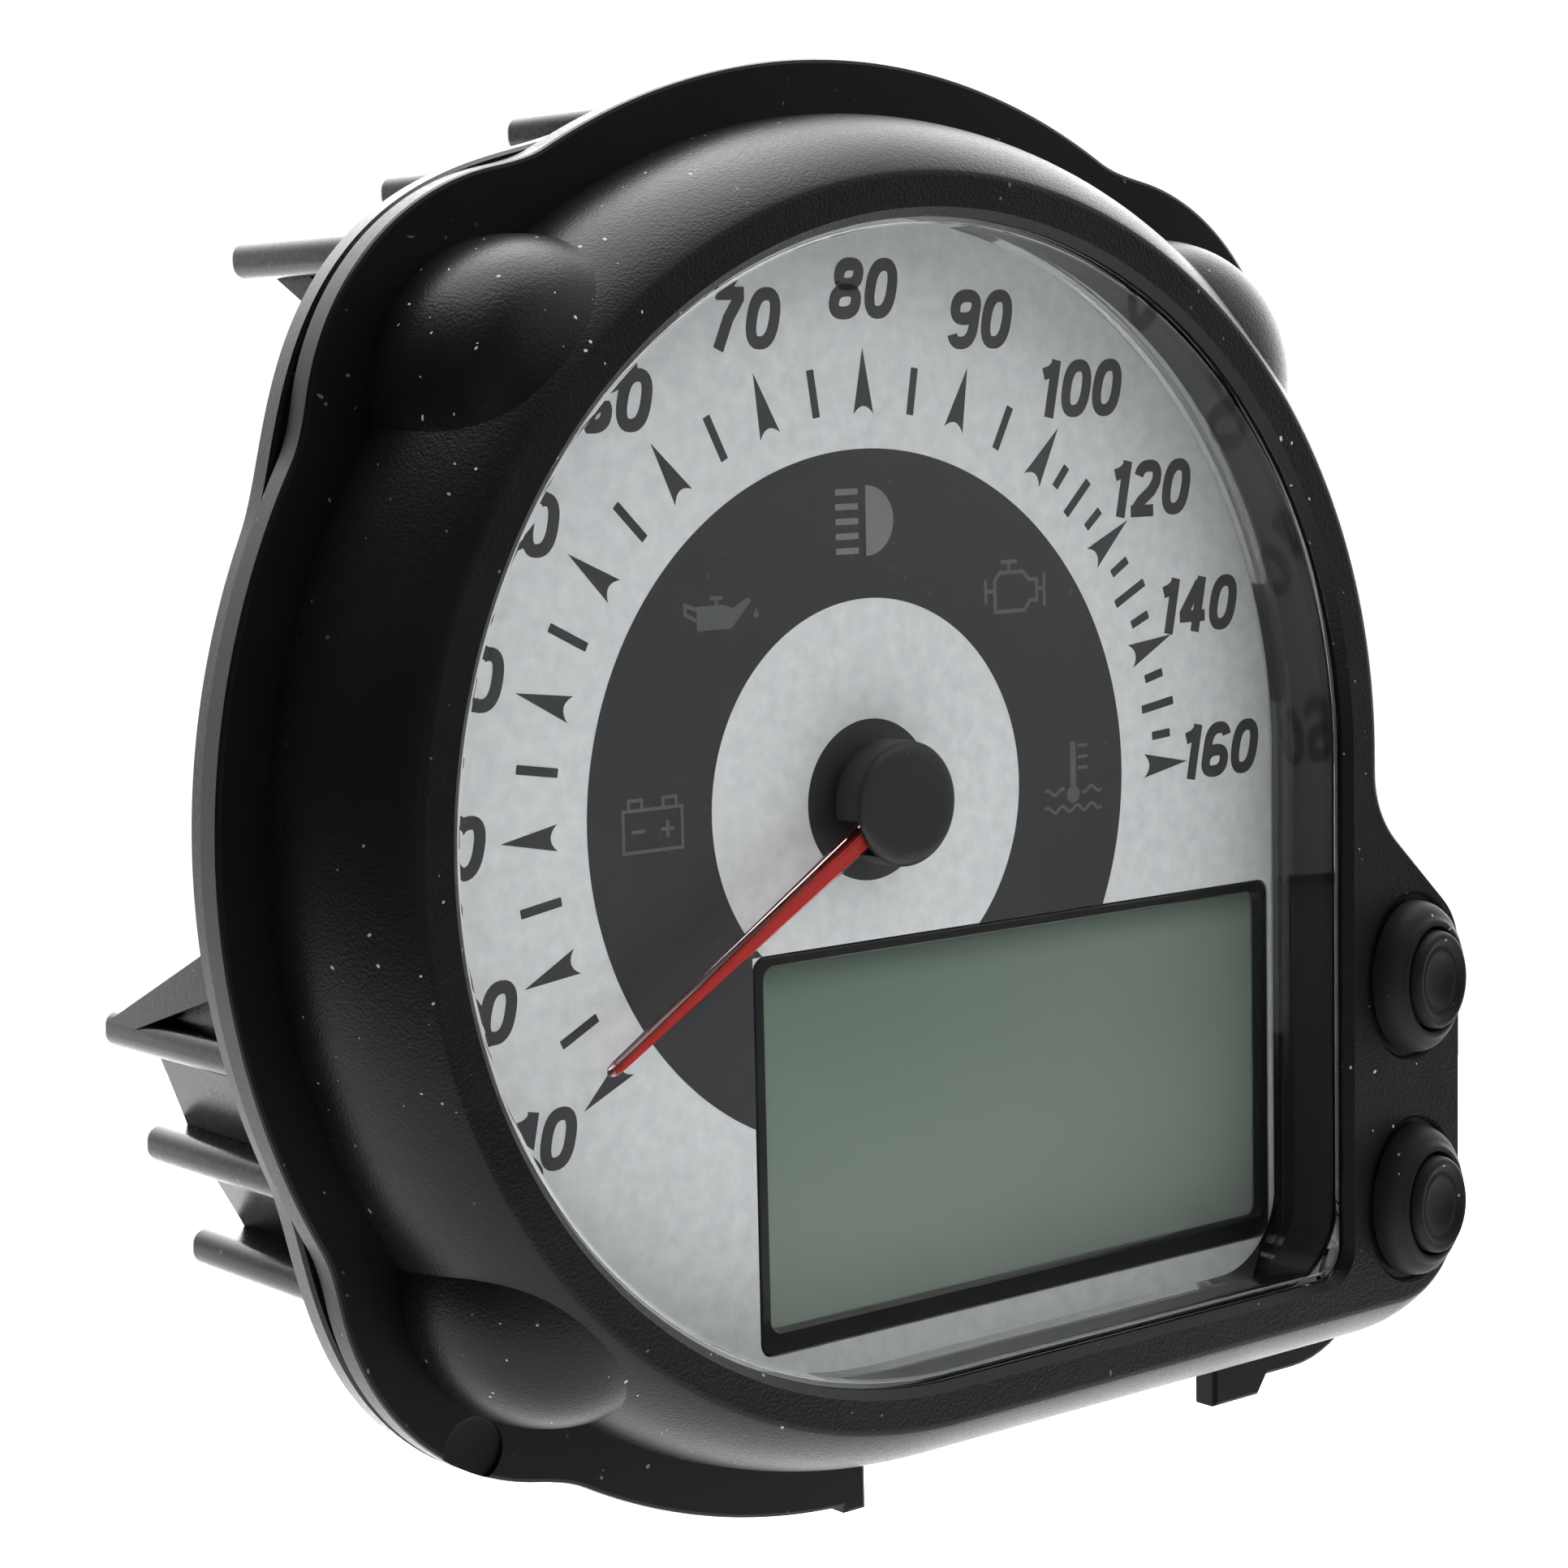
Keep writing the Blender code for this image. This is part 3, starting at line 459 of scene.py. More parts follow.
def displayFinish():
    # reflective display: grey green and glossy in front, with painted shade darker towards the top, a painted
    # shadow band along the top edge under the frame, and a painted reflection of the window's dark wall that
    # greys the right side
    # low to high is painted shade from bottom to top, right is the painted reflection of the dark wall, band
    # is the painted shadow of the frame's top edge
    tints = dict(low=(0.325, 0.39, 0.335), high=(0.185, 0.245, 0.193), right=(0.31, 0.35, 0.32),
                 band=(0.08, 0.115, 0.085), mottle=(0.20, 0.24, 0.20))
    # the painted shadow band of the frame's top edge lies between these distances
    topShadowFrom, topShadowTo = 4.6 * mm, 1.2 * mm      # below the top edge
    finish, tree, shader = plainFinish("display glass", 0.06, Coat_Weight=1.0, Coat_Roughness=0.02)
    parts = addNode(tree, "ShaderNodeSeparateXYZ", Vector=ownPlace(tree)).outputs
    low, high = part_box("lcd_glass")
    # masks for the painted shade towards the top, the painted reflection towards the right and the painted
    # shadow band
    rise, across = rampNode(tree, parts["Z"], low[2], high[2]), rampNode(tree, parts["X"], low[0], high[0])
    band = rampNode(tree, parts["Z"], high[2] - topShadowFrom, high[2] - topShadowTo)
    mottle = placeGroup(tree, "mottle", Scale=900.0).outputs["Tone"]
    body = colourMix(tree, rise, tints["low"], tints["high"])
    # painted reflection on the right, painted shadow band at the top edge, then the glass's own mottled tone
    for mask, share, tint in ((across, 0.5, "right"), (band, 0.55, "band"), (mottle, 0.12, "mottle")):
        body = colourMix(tree, times(tree, mask, share), body, tints[tint])
    wire(tree, (body, shader.inputs["Base Color"]),
         (mathNode(tree, "ADD", 0.12, times(tree, mottle, 0.04)), shader.inputs["Roughness"]))
    return finish


displayGlass = displayFinish()
print("finishes ready")


# geometry node trees for what repeats
def newTree(name, **inputs):
    tree = bpy.data.node_groups.new(name, "GeometryNodeTree")
    for label, kind in inputs.items():
        tree.interface.new_socket(name=label, in_out="INPUT", socket_type="NodeSocket" + kind)
    tree.interface.new_socket(name="Geometry", in_out="OUTPUT", socket_type="NodeSocketGeometry")
    return tree, tree.nodes.new("NodeGroupInput").outputs, tree.nodes.new("NodeGroupOutput").inputs


def finishTree(tree, source, finish, out):
    # every tree ends in real geometry that has its finish
    real = addNode(tree, "GeometryNodeRealizeInstances", Geometry=source)
    paint = addNode(tree, "GeometryNodeSetMaterial", Geometry=real.outputs[0], Material=finish)
    wire(tree, (paint.outputs[0], out[0]))
    return tree


def ringTree():
    # copies of one piece round the pointer's axis: the first at First, then every Step, in radians
    tree, given, out = newTree("ring of pieces", Piece="Object", Count="Int", First="Float", Step="Float",
                               Finish="Material")
    index = tree.nodes.new("GeometryNodeInputIndex").outputs[0]
    angle = mathNode(tree, "ADD", given["First"], times(tree, index, given["Step"]))
    turn = addNode(tree, "ShaderNodeCombineXYZ", Y=times(tree, angle, -1.0))
    points = addNode(tree, "GeometryNodePoints", Count=given["Count"])
    info = addNode(tree, "GeometryNodeObjectInfo", Object=given["Piece"])
    copies = addNode(tree, "GeometryNodeInstanceOnPoints", Points=points.outputs[0],
                     Instance=info.outputs["Geometry"], Rotation=turn.outputs[0])
    return finishTree(tree, copies.outputs[0], given["Finish"], out)


def gridTree():
    # copies of one piece in rows and columns across X and Z
    tree, given, out = newTree("grid of pieces", Piece="Object", Columns="Int", Rows="Int", Width="Float",
                               Height="Float", Finish="Material")
    grid = addNode(tree, "GeometryNodeMeshGrid", Vertices_X=given["Columns"], Vertices_Y=given["Rows"],
                   Size_X=given["Width"], Size_Y=given["Height"])
    stand = addNode(tree, "GeometryNodeTransform", Geometry=grid.outputs["Mesh"],
                    Rotation=(math.pi / 2.0, 0.0, 0.0))
    info = addNode(tree, "GeometryNodeObjectInfo", Object=given["Piece"])
    copies = addNode(tree, "GeometryNodeInstanceOnPoints", Points=stand.outputs[0],
                     Instance=info.outputs["Geometry"])
    return finishTree(tree, copies.outputs[0], given["Finish"], out)


def beadTree():
    # a round bead swept along the edge of an outline, as a moulded seal is
    tree, given, out = newTree("swept bead", Path="Object", Radius="Float", Finish="Material")
    info = addNode(tree, "GeometryNodeObjectInfo", Object=given["Path"])
    path = addNode(tree, "GeometryNodeMeshToCurve", Mesh=info.outputs["Geometry"])
    section = addNode(tree, "GeometryNodeCurvePrimitiveCircle", Radius=given["Radius"], Resolution=10)
    sweep = addNode(tree, "GeometryNodeCurveToMesh", Curve=path.outputs[0], Profile_Curve=section.outputs[0])
    return finishTree(tree, sweep.outputs[0], given["Finish"], out)


trees = dict(ring=ringTree(), grid=gridTree(), bead=beadTree())


def runTree(name, treeName, **values):
    # runs one tree, keeps its result as a plain mesh and clears away the piece it copied or followed
    tree = trees[treeName]
    carrier = linked(name, bpy.data.meshes.new(name))
    step = carrier.modifiers.new(treeName, "NODES")
    step.node_group = tree
    sockets = {item.name: item.identifier for item in tree.interface.items_tree if item.in_out == "INPUT"}
    for key, value in values.items():
        step[sockets[key]] = value
    settle(carrier)
    for label in ("Piece", "Path"):
        if label in values:
            bpy.data.objects.remove(values[label], do_unlink=True)
    return carrier


def ringOf(name, piece, count, first, step, finish):
    first, step = math.radians(first), math.radians(step)
    return runTree(name, "ring", Piece=piece, Count=count, First=first, Step=step, Finish=finish)


def beadAlong(name, outline, depth, radius):
    path = linked(name + "Path", bpy.data.meshes.new(name + "Path"))
    path.data.from_pydata([(x * mm, dialFace + depth * mm, z * mm) for x, z in outline],
                          [(i, (i + 1) % len(outline)) for i in range(len(outline))], [])
    return runTree(name, "bead", Path=path, Radius=radius * mm, Finish=sealRubber)


# front bezel: domed shoulder round the ring, three pods, lobed flange, button panel
buttonPlan = dict(x=69.3, heights=(-25.6, -51.4), flat=0.79, rubberFlat=0.75)


def shoulderStep(turn):
    # the dome's outline grows by the first value at the depth of the second
    a, across = math.radians(turn), 2.0 * case["shoulder"]
    deep = (case["shoulderFoot"] - case["ringDepth"]) / math.sin(math.radians(60.0))
    return across * math.cos(a) - case["shoulder"], case["shoulderFoot"] - deep * math.sin(a)


def frontRun(grow):
    return caseRun(case["ringR"] + grow, case["panelRight"] + 0.2 * grow, 9.5 + 0.5 * grow)


def flangeRun(grow):
    tab = dict(foot=-75.7, left=-3.2, gapLeft=-0.4, gapRight=52.3, right=59.5, top=-66.6)
    foot, bottom, right = tab["foot"] - grow, case["flangeFoot"] - grow, case["flangeRight"] + grow
    lobes = lobedRun(case["flangeR"] + grow, case["lobeR"] + grow, 1.6)
    tabs = [(tab["left"] - grow, foot), (tab["gapLeft"] + grow, foot), (tab["gapLeft"] + grow, tab["top"]),
            (tab["gapRight"] - grow, tab["top"]), (tab["gapRight"] - grow, foot), (tab["right"], foot)]
    return lobes + tabs + filletRun([(61.0, bottom, 0.0), (right, bottom, 15.0 + grow), (right, -19.0, 9.0),
                                     (74.6, -9.0, 0.0)], 14)


def podDome(angle):
    foot, rise, fullness = case["shoulderFoot"], case["podRise"], 2.0 / case["podSquare"]
    dome = [(0.0, foot - rise)]
    for t in range(6, 91, 3):
        out, up = (f(math.radians(t)) ** fullness for f in (math.sin, math.cos))
        dome.append((case["podR"] * out, foot - rise * up))
    dome += [(case["podR"], case["podFoot"]), (0.0, case["podFoot"])]
    return turned("podBlank", dome, centre=polar(case["podCentre"], angle), steps=120)


def paintBezel(bezel):
    # grain outside, smooth black on the flange, polished black on the window's wall
    repaint(bezel, bezelGrain, flangeBlack, glossBlack)
    edge, lip = dialFace + (case["flangeDepth"] - 0.12) * mm, dialFace - 12.1 * mm
    wall = (case["windowR"] + 2.65) * mm
    for face in bezel.data.polygons:
        spots = [bezel.data.vertices[v].co for v in face.vertices]
        within = all(math.hypot(p.x, p.z) < wall or (wall > p.x > 0.0 > p.z > -wall) for p in spots)
        if within and all(p.y > lip for p in spots):
            face.material_index = 2
        elif all(p.y > edge for p in spots):
            face.material_index = 1


def makeBezel():
    ring, front, back = case["ringDepth"], case["flangeDepth"], case["flangeBack"]
    dome = [shoulderStep(turn) for turn in range(58, -1, -4)]
    bezel = loft("bezel", stack(frontRun, (-0.6, ring), (-0.28, ring + 0.015), (0.04, ring + 0.1), *dome,
                                (case["shoulder"], 4.8)), bezelGrain)
    flange = loft("flangeBlank", stack(flangeRun, (-0.45, front), (-0.13, front + 0.13), (0.0, front + 0.45),
                                       (0.0, back - 0.4), (-0.35, back)))
    carve(bezel, "UNION", flange, *[podDome(angle) for angle in case["lobeAngles"]])
    opening = loft("openingCutter", stack(windowRun, (1.75, 5.15, -13.8), (0.95, 4.35, -13.0),
                                          (0.25, 3.65, -12.3), (0.05, 3.45, -12.05), (0.0, 3.4, -11.8),
                                          (0.0, 3.4, -11.4), (2.6, 6.0, -11.4), (2.6, 6.0, 8.0)))
    well = [(0.0, -16.0), (9.75, -16.0), (9.75, ring - 0.05), (9.35, ring + 0.35), (9.3, ring + 0.6),
            (7.6, ring + 0.6), (7.6, -8.0), (3.2, -8.0), (3.2, 7.0), (0.0, 7.0)]
    seats = [turned("seatCutter", well, centre=(buttonPlan["x"], z), flat=buttonPlan["flat"], steps=72)
             for z in buttonPlan["heights"]]
    mark = turned("markCutter", [(0.0, 1.0), (3.55, 1.0), (3.4, 2.1), (3.3, 2.42), (2.9, 2.5), (0.0, 2.5)],
                  centre=(-49.7, -58.8), steps=48)
    carve(bezel, "DIFFERENCE", opening, mark, *seats)
    paintBezel(bezel)
    # the pods meet the shoulder in a crisp crease
    bezel.data.set_sharp_from_angle(angle=math.radians(14.0))
    evenNormals(bezel)
    give(bezel, "housing", "black_grain", "front_bezel")
    print("bezel:", len(bezel.data.polygons), "faces")


makeBezel()


# clear lens with its skirt, the black border inside the skirt, and the bead that seals it
def makeLens():
    lens = loft("lens", stack(windowRun, (-1.0, 2.4, -11.6), (-0.62, 2.78, -11.55), (-0.44, 2.96, -11.35),
                              (-0.4, 3.0, -11.1), (-0.4, 3.0, -11.0), (1.9, 5.3, -11.0), (2.2, 5.6, -10.7),
                              (2.2, 5.6, -0.4), (0.7, 9.2, -0.4), (0.7, 9.2, -9.7), (0.55, 9.05, -10.05),
                              (0.1, 8.6, -10.3)), lensClear, sharp=40.0)
    evenNormals(lens)
    give(lens, "housing", "clear_plastic", "window_lens")
    border = loft("lensBorder", stack(windowRun, (0.62, 9.12, -9.6), (0.45, 8.95, -9.6), (0.45, 8.95, -3.9),
                                      (0.62, 9.12, -3.9)), glossBlack, ring=True)
    give(border, "housing", "black_plain")
    give(beadAlong("lensBead", windowRun(1.05, 4.5), -11.15, 0.14), "housing", "rubber", "lens_gasket")
    print("lens and its seal made")


makeLens()


# dial: silver plate, charcoal band and hub, marks, figures and symbols
scale = dict(tipR=46.0, baseR=39.4, bowR=40.2, baseWidth=2.62, barR=42.05, barLong=4.85, shortR=42.15,
             shortLong=2.75, barWide=0.92, bandInner=20.7, bandOuter=35.9, hubR=8.35, hubInner=2.3,
             axisHole=2.2, figureHigh=6.05, lift=0.035)
display = dict(left=-15.9, right=58.6, bottom=-55.7, top=-14.7, view=(-14.5, 57.4, -53.4, -15.9))


def addPlate(bm, outline, front, back):
    joinRows(bm, [row(bm, outline, front), row(bm, outline, back)])


def addStroke(bm, points, wide, front, back, closed=False):
    # a flat line of even width through the points
    left, right, count = [], [], len(points)
    for i, here in enumerate(points):
        here = Vector(here)
        before = Vector(points[i - 1]) if i or closed else here
        after = Vector(points[(i + 1) % count]) if i < count - 1 or closed else here
        a, b = here - before, after - here
        a = a.normalized() if a.length else b.normalized()
        b = b.normalized() if b.length else a
        side = Vector((-(a + b).y, (a + b).x)).normalized()
        # the mitre of a sharp corner is cut short
        reach = side * wide / 2.0 / max(0.45, side.dot(Vector((-a.y, a.x))))
        left.append(tuple(here + reach))
        right.append(tuple(here - reach))
    if closed:
        sides = ((left, front), (right, front), (right, back), (left, back))
        joinRows(bm, [row(bm, run, depth) for run, depth in sides], ring=True)
    else:
        addPlate(bm, left + right[::-1], front, back)


def printFlat(name, plates, finish, strokes=(), depth=0.0, thick=scale["lift"], at=(0.0, 0.0)):
    # thin raised print: filled outlines, and lines as (points, width, closed)
    bm = bmesh.new()
    front, back = depth - thick, depth + 0.01
    for outline in plates:
        addPlate(bm, [(x + at[0], z + at[1]) for x, z in outline], front, back)
    for points, wide, closed in strokes:
        addStroke(bm, [(x + at[0], z + at[1]) for x, z in points], wide, front, back, closed)
    return newPiece(name, bm, finish, sharp=20.0)


def makeDial():
    d = display
    plate = slab("dial", windowRun(2.15, 5.55), 0.0, 0.8, dialSilver)
    opening = boxRun(d["left"] - 0.15, d["right"] + 0.3, d["bottom"] - 0.3, d["top"] + 0.15, 1.6)
    carve(plate, "DIFFERENCE", slab("dialWindow", opening, -1.0, 2.0),
          plug("dialHole", scale["axisHole"], -1.0, 2.0))
    evenNormals(plate)
    give(plate, "housing", "dial_print", "dial_plate")

    # the band ends along the display's top and left edges
    edge, top = d["left"] - 0.1, d["top"] + 0.1
    inner, outer = scale["bandInner"], scale["bandOuter"]
    startIn, startOut = (math.degrees(math.asin(top / r)) for r in (inner, outer))
    endOut = 180.0 + math.degrees(math.acos(-edge / outer))
    endIn = 180.0 + math.degrees(math.asin(-top / inner))
    run = arcRun((0.0, 0.0), outer, startOut, endOut, 150) + [(edge, top)]
    run += arcRun((0.0, 0.0), inner, endIn, startIn, 120)
    give(printFlat("dialBand", [run], printDark), "housing", "dial_print")
    middle, wide = (scale["hubR"] + scale["hubInner"]) / 2.0, scale["hubR"] - scale["hubInner"]
    hub = printFlat("dialHub", (), printDark, [(circleRun(middle, 96), wide, True)])
    give(hub, "housing", "dial_print")


def makeMarks():
    tip, base, half, wide = scale["tipR"], scale["baseR"], scale["baseWidth"] / 2.0, scale["barWide"] / 2.0
    bow = [(base + (scale["bowR"] - base) * (1.0 - (k / 4.0) ** 2), half * k / 4.0) for k in range(4, -5, -1)]
    outlines = [[(tip, 0.0)] + bow]
    for middle, length in ((scale["barR"], scale["barLong"]), (scale["shortR"], scale["shortLong"])):
        outlines.append(boxRun(middle - length / 2.0, middle + length / 2.0, -wide, wide, 0.08, 2))
    rounds = (("majorMarks", 13, 216.0, -18.0), ("middleMarks", 12, 207.0, -18.0),
              ("shortMarks", 6, 49.5, -9.0))
    for outline, (name, count, first, step) in zip(outlines, rounds):
        mark = printFlat(name + "Blank", [outline], printGrey)
        give(ringOf(name, mark, count, first, step, printGrey), "housing", "dial_print")


figures = {"10": (-41.9, -29.2), "20": (-49.0, -16.0), "30": (-52.0, 0.0), "40": (-49.3, 15.7),
           "50": (-42.4, 29.9), "60": (-31.0, 41.4), "70": (-14.9, 49.1), "80": (0.5, 52.0),
           "90": (16.3, 48.8), "100": (30.5, 41.4), "120": (40.9, 30.4), "140": (48.1, 17.3),
           "160": (51.4, 0.9)}
figureShape = dict(lean=0.21, stroke=0.215, wide=1.15, advance=0.75, narrow=0.56, squareness=2.5)


def bowlRun(x, z, across, up, start=0.0, end=346.0, steps=26):
    # part of a squarish oval, in degrees
    power = 2.0 / figureShape["squareness"]
    points = []
    for i in range(steps + 1):
        a = math.radians(start + (end - start) * i / steps)
        c, d = math.cos(a), math.sin(a)
        c, d = (math.copysign(abs(v) ** power, v) for v in (c, d))
        points.append((x + across * c, z + up * d))
    return points


def figureStrokes():
    # centre lines of each figure in a cell one unit high: ovals that close, then open lines
    stem = bowlRun(0.315, 0.58, 0.21, 0.32, 28.0, 180.0) + [(0.105, 0.44), (0.105, 0.33)]
    six = ([bowlRun(0.31, 0.295, 0.205, 0.195)], [stem])
    # a six turned half round
    nine = [[[(0.62 - x, 1.0 - z) for x, z in run] for run in runs] for runs in six]
    return {
        "0": ([bowlRun(0.31, 0.5, 0.205, 0.40)], []),
        "1": ([], [[(0.30, 1.0), (0.30, 0.0)], [(0.30, 0.885), (0.20, 0.80), (0.07, 0.755)]]),
        "2": ([], [bowlRun(0.30, 0.68, 0.20, 0.22, 172.0, -18.0) + [(0.42, 0.45), (0.22, 0.27), (0.12, 0.12)],
                   [(0.03, 0.095), (0.52, 0.095)]]),
        "3": ([], [bowlRun(0.29, 0.71, 0.185, 0.19, 165.0, -88.0),
                   bowlRun(0.29, 0.30, 0.21, 0.205, 88.0, -165.0)]),
        "4": ([], [[(0.40, 1.0), (0.40, 0.0)], [(0.36, 0.90), (0.09, 0.32)], [(0.02, 0.29), (0.58, 0.29)]]),
        "5": ([], [[(0.53, 0.905), (0.14, 0.905)], [(0.175, 0.95), (0.135, 0.50)],
                   bowlRun(0.29, 0.325, 0.215, 0.225, 135.0, -165.0)]),
        "6": six,
        "7": ([], [[(0.05, 0.905), (0.55, 0.905)], [(0.485, 0.86), (0.33, 0.50), (0.23, 0.0)]]),
        "8": ([bowlRun(0.31, 0.735, 0.18, 0.17), bowlRun(0.31, 0.285, 0.205, 0.19)], []),
        "9": nine}


def makeFigures():
    high, shape = scale["figureHigh"], figureShape
    wide, lean = shape["wide"], shape["lean"]
    glyphs = {}
    for figure, (ovals, lines) in figureStrokes().items():
        strokes = []
        for points, closed in [(run, True) for run in ovals] + [(run, False) for run in lines]:
            slanted = [((x * wide + lean * (z - 0.5)) * high, (z - 0.5) * high) for x, z in points]
            stroke = printFlat("stroke" + figure, (), printGrey, [(slanted, shape["stroke"] * high, closed)])
            strokes.append(stroke)
        if len(strokes) > 1:
            carve(strokes[0], "UNION", *strokes[1:])
        glyphs[figure] = strokes[0]
    whole = bmesh.new()
    for text, (x, z) in figures.items():
        widths = [shape["narrow"] if letter == "1" else shape["advance"] for letter in text]
        pen = x - sum(widths) * high / 2.0
        for letter, width in zip(text, widths):
            before = len(whole.verts)
            whole.from_mesh(glyphs[letter].data)
            whole.verts.ensure_lookup_table()
            bmesh.ops.translate(whole, verts=whole.verts[before:], vec=(pen * mm, 0.0, z * mm))
            pen += width * high
    for glyph in glyphs.values():
        bpy.data.objects.remove(glyph, do_unlink=True)
    give(newPiece("dialFigures", whole, printGrey, sharp=20.0), "housing", "dial_print")


def makeSymbols():
    def line(wide, *points, closed=False):
        return points, wide, closed

    battery = [line(0.34, (-3.6, -2.4), (3.6, -2.4), (3.6, 1.7), (-3.6, 1.7), closed=True),
               line(0.34, (-2.9, 1.87), (-2.9, 2.7), (-1.3, 2.7), (-1.3, 1.87)),
               line(0.34, (1.3, 1.87), (1.3, 2.7), (2.9, 2.7), (2.9, 1.87)),
               line(0.36, (-2.6, -0.4), (-1.0, -0.4)), line(0.36, (1.0, -0.4), (2.6, -0.4)),
               line(0.36, (1.8, -1.2), (1.8, -0.6)), line(0.36, (1.8, -0.2), (1.8, 0.4))]
    can = [(-2.6, -1.5), (1.7, -1.5), (4.3, 1.1), (3.9, 1.5), (1.9, 0.5), (0.9, 0.9), (-2.6, 0.9)]
    drop = circleRun(0.36, 12, (4.9, -0.3))
    drop[3] = (4.9, 0.45)      # the drop's top is drawn up to a tip
    oil = [line(0.4, (-0.9, 1.6), (0.7, 1.6)), line(0.36, (-0.1, 0.92), (-0.1, 1.38)),
           line(0.4, (-2.62, 0.6), (-4.0, 1.1), (-4.0, 0.2), (-2.62, -0.5))]
    beam = [boxRun(-4.0, -1.0, z - 0.32, z + 0.32, 0.12, 2) for z in (-3.0, -1.5, 0.0, 1.5, 3.0)]
    beam.append([(0.0, -3.6)] + [(3.7 * math.cos(math.radians(t)), 3.6 * math.sin(math.radians(t)))
                                 for t in range(-80, 81, 8)] + [(0.0, 3.6)])
    engine = [line(0.42, (-2.6, -2.2), (1.6, -2.2), (2.4, -1.2), (3.4, -1.2), (3.4, 1.0), (2.4, 1.0),
                   (1.4, 1.9), (-1.9, 1.9), (-2.6, 1.1), closed=True),
              line(0.42, (-0.6, 2.12), (-0.6, 2.8)), line(0.42, (-1.7, 3.02), (0.6, 3.02)),
              line(0.42, (-3.9, -1.3), (-3.9, 1.2)), line(0.42, (-3.68, 0.0), (-2.82, 0.0)),
              line(0.42, (4.5, -1.9), (4.5, 1.6)), line(0.42, (3.62, 0.0), (4.28, 0.0))]
    stem = [boxRun(-0.42, 0.42, -1.4, 3.4, 0.2, 3), circleRun(0.95, 20, (0.0, -2.3))]
    stem += [boxRun(0.7, 2.2, z - 0.17, z + 0.17, 0.05, 2) for z in (2.9, 1.7, 0.5)]
    waves = []
    for z, start, end in ((-1.9, -4.2, -1.3), (-1.9, 1.3, 4.2), (-3.8, -4.2, 4.2)):
        count = int((end - start) * 5)
        spots = [start + (end - start) * k / count for k in range(count + 1)]
        waves.append(line(0.36, *[(x, z + 0.32 * math.sin(x * 2.9)) for x in spots]))
    for name, plates, strokes, at, finish in (("battery", (), battery, (-28.0, 0.0), symbolDim),
                                              ("oil", (can, drop), oil, (-19.4, 20.2), symbolDim),
                                              ("engine", (), engine, (20.2, 20.4), symbolDim),
                                              ("coolant", stem, waves, (28.6, 0.2), symbolDim),
                                              ("beam", beam, (), (0.0, 28.6), symbolPale)):
        symbol = printFlat(name + "Symbol", plates, finish, strokes, depth=-scale["lift"], thick=0.02, at=at)
        give(symbol, "housing", "dial_print")
    print("dial printed")


makeDial()
makeMarks()
makeFigures()
makeSymbols()


# display: frame and glass
def makeDisplay():
    left, right, bottom, top = (display[key] for key in ("left", "right", "bottom", "top"))
    wide = boxRun(left - 2.0, right + 1.6, bottom - 2.0, top + 1.7, 1.6)

    def rimRun(inset):
        return boxRun(left + inset, right - inset, bottom + inset, top - inset, 1.4 - inset)

    def viewRun(out, corner):
        x0, x1, z0, z1 = display["view"]
        return boxRun(x0 - out, x1 + out, z0 - out, z1 + out, corner)

    rim = stack(rimRun, (0.22, -0.12), (0.07, -0.07), (0.0, 0.05), (0.0, 1.1))
    surround = loft("displayFrame", rim + [(wide, 1.1), (wide, 7.5)], displayBlack)
    hole = loft("viewCutter", stack(viewRun, (0.45, 1.6, -0.5), (0.1, 1.4, 0.3), (0.0, 1.3, 0.6),
                                    (0.0, 1.3, 3.0)))
    pocket = slab("pocketCutter", boxRun(left + 0.1, right - 0.2, bottom + 0.6, top - 0.2), 1.0, 9.0)
    carve(surround, "DIFFERENCE", hole, pocket)
    evenNormals(surround)
    give(surround, "housing", "black_plain", "lcd_frame")
    low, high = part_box("lcd_glass")
    glass = slab("displayPanel", boxRun(low[0] / mm, high[0] / mm, low[2] / mm, high[2] / mm), 1.3, 3.3,
                 displayGlass)
    edge = glass.modifiers.new("edge", "BEVEL")
    edge.width, edge.segments = 0.15 * mm, 2
    evenNormals(glass)
    give(glass, "housing", "display_glass", "lcd_glass")
    print("display made")


makeDisplay()


# pointer: cap, clear blade with a red stripe, hub
needle = dict(angle=211.5, depth=-4.6, root=5.2, reach=43.7, rootHalf=1.35, tipHalf=0.55)


def turnedAt(piece, degrees):
    piece.data.transform(Matrix.Rotation(-math.radians(degrees), 4, "Y"))
    return piece


def bladeBar(name, rows, finish):
    # rows run as (distance along, half width, front depth, back depth)
    bm = bmesh.new()
    sections = []
    for along, half, front, back in rows:
        lip = min(0.35 * half, 0.3)
        points = ((half, back), (half, front + 0.42), (half - lip, front), (lip - half, front),
                  (-half, front + 0.42), (-half, back))
        sections.append([bm.verts.new((along * mm, dialFace + (needle["depth"] + depth) * mm, side * mm))
                         for side, depth in points])
    joinRows(bm, sections)
    return turnedAt(newPiece(name, bm, finish, sharp=25.0), needle["angle"])


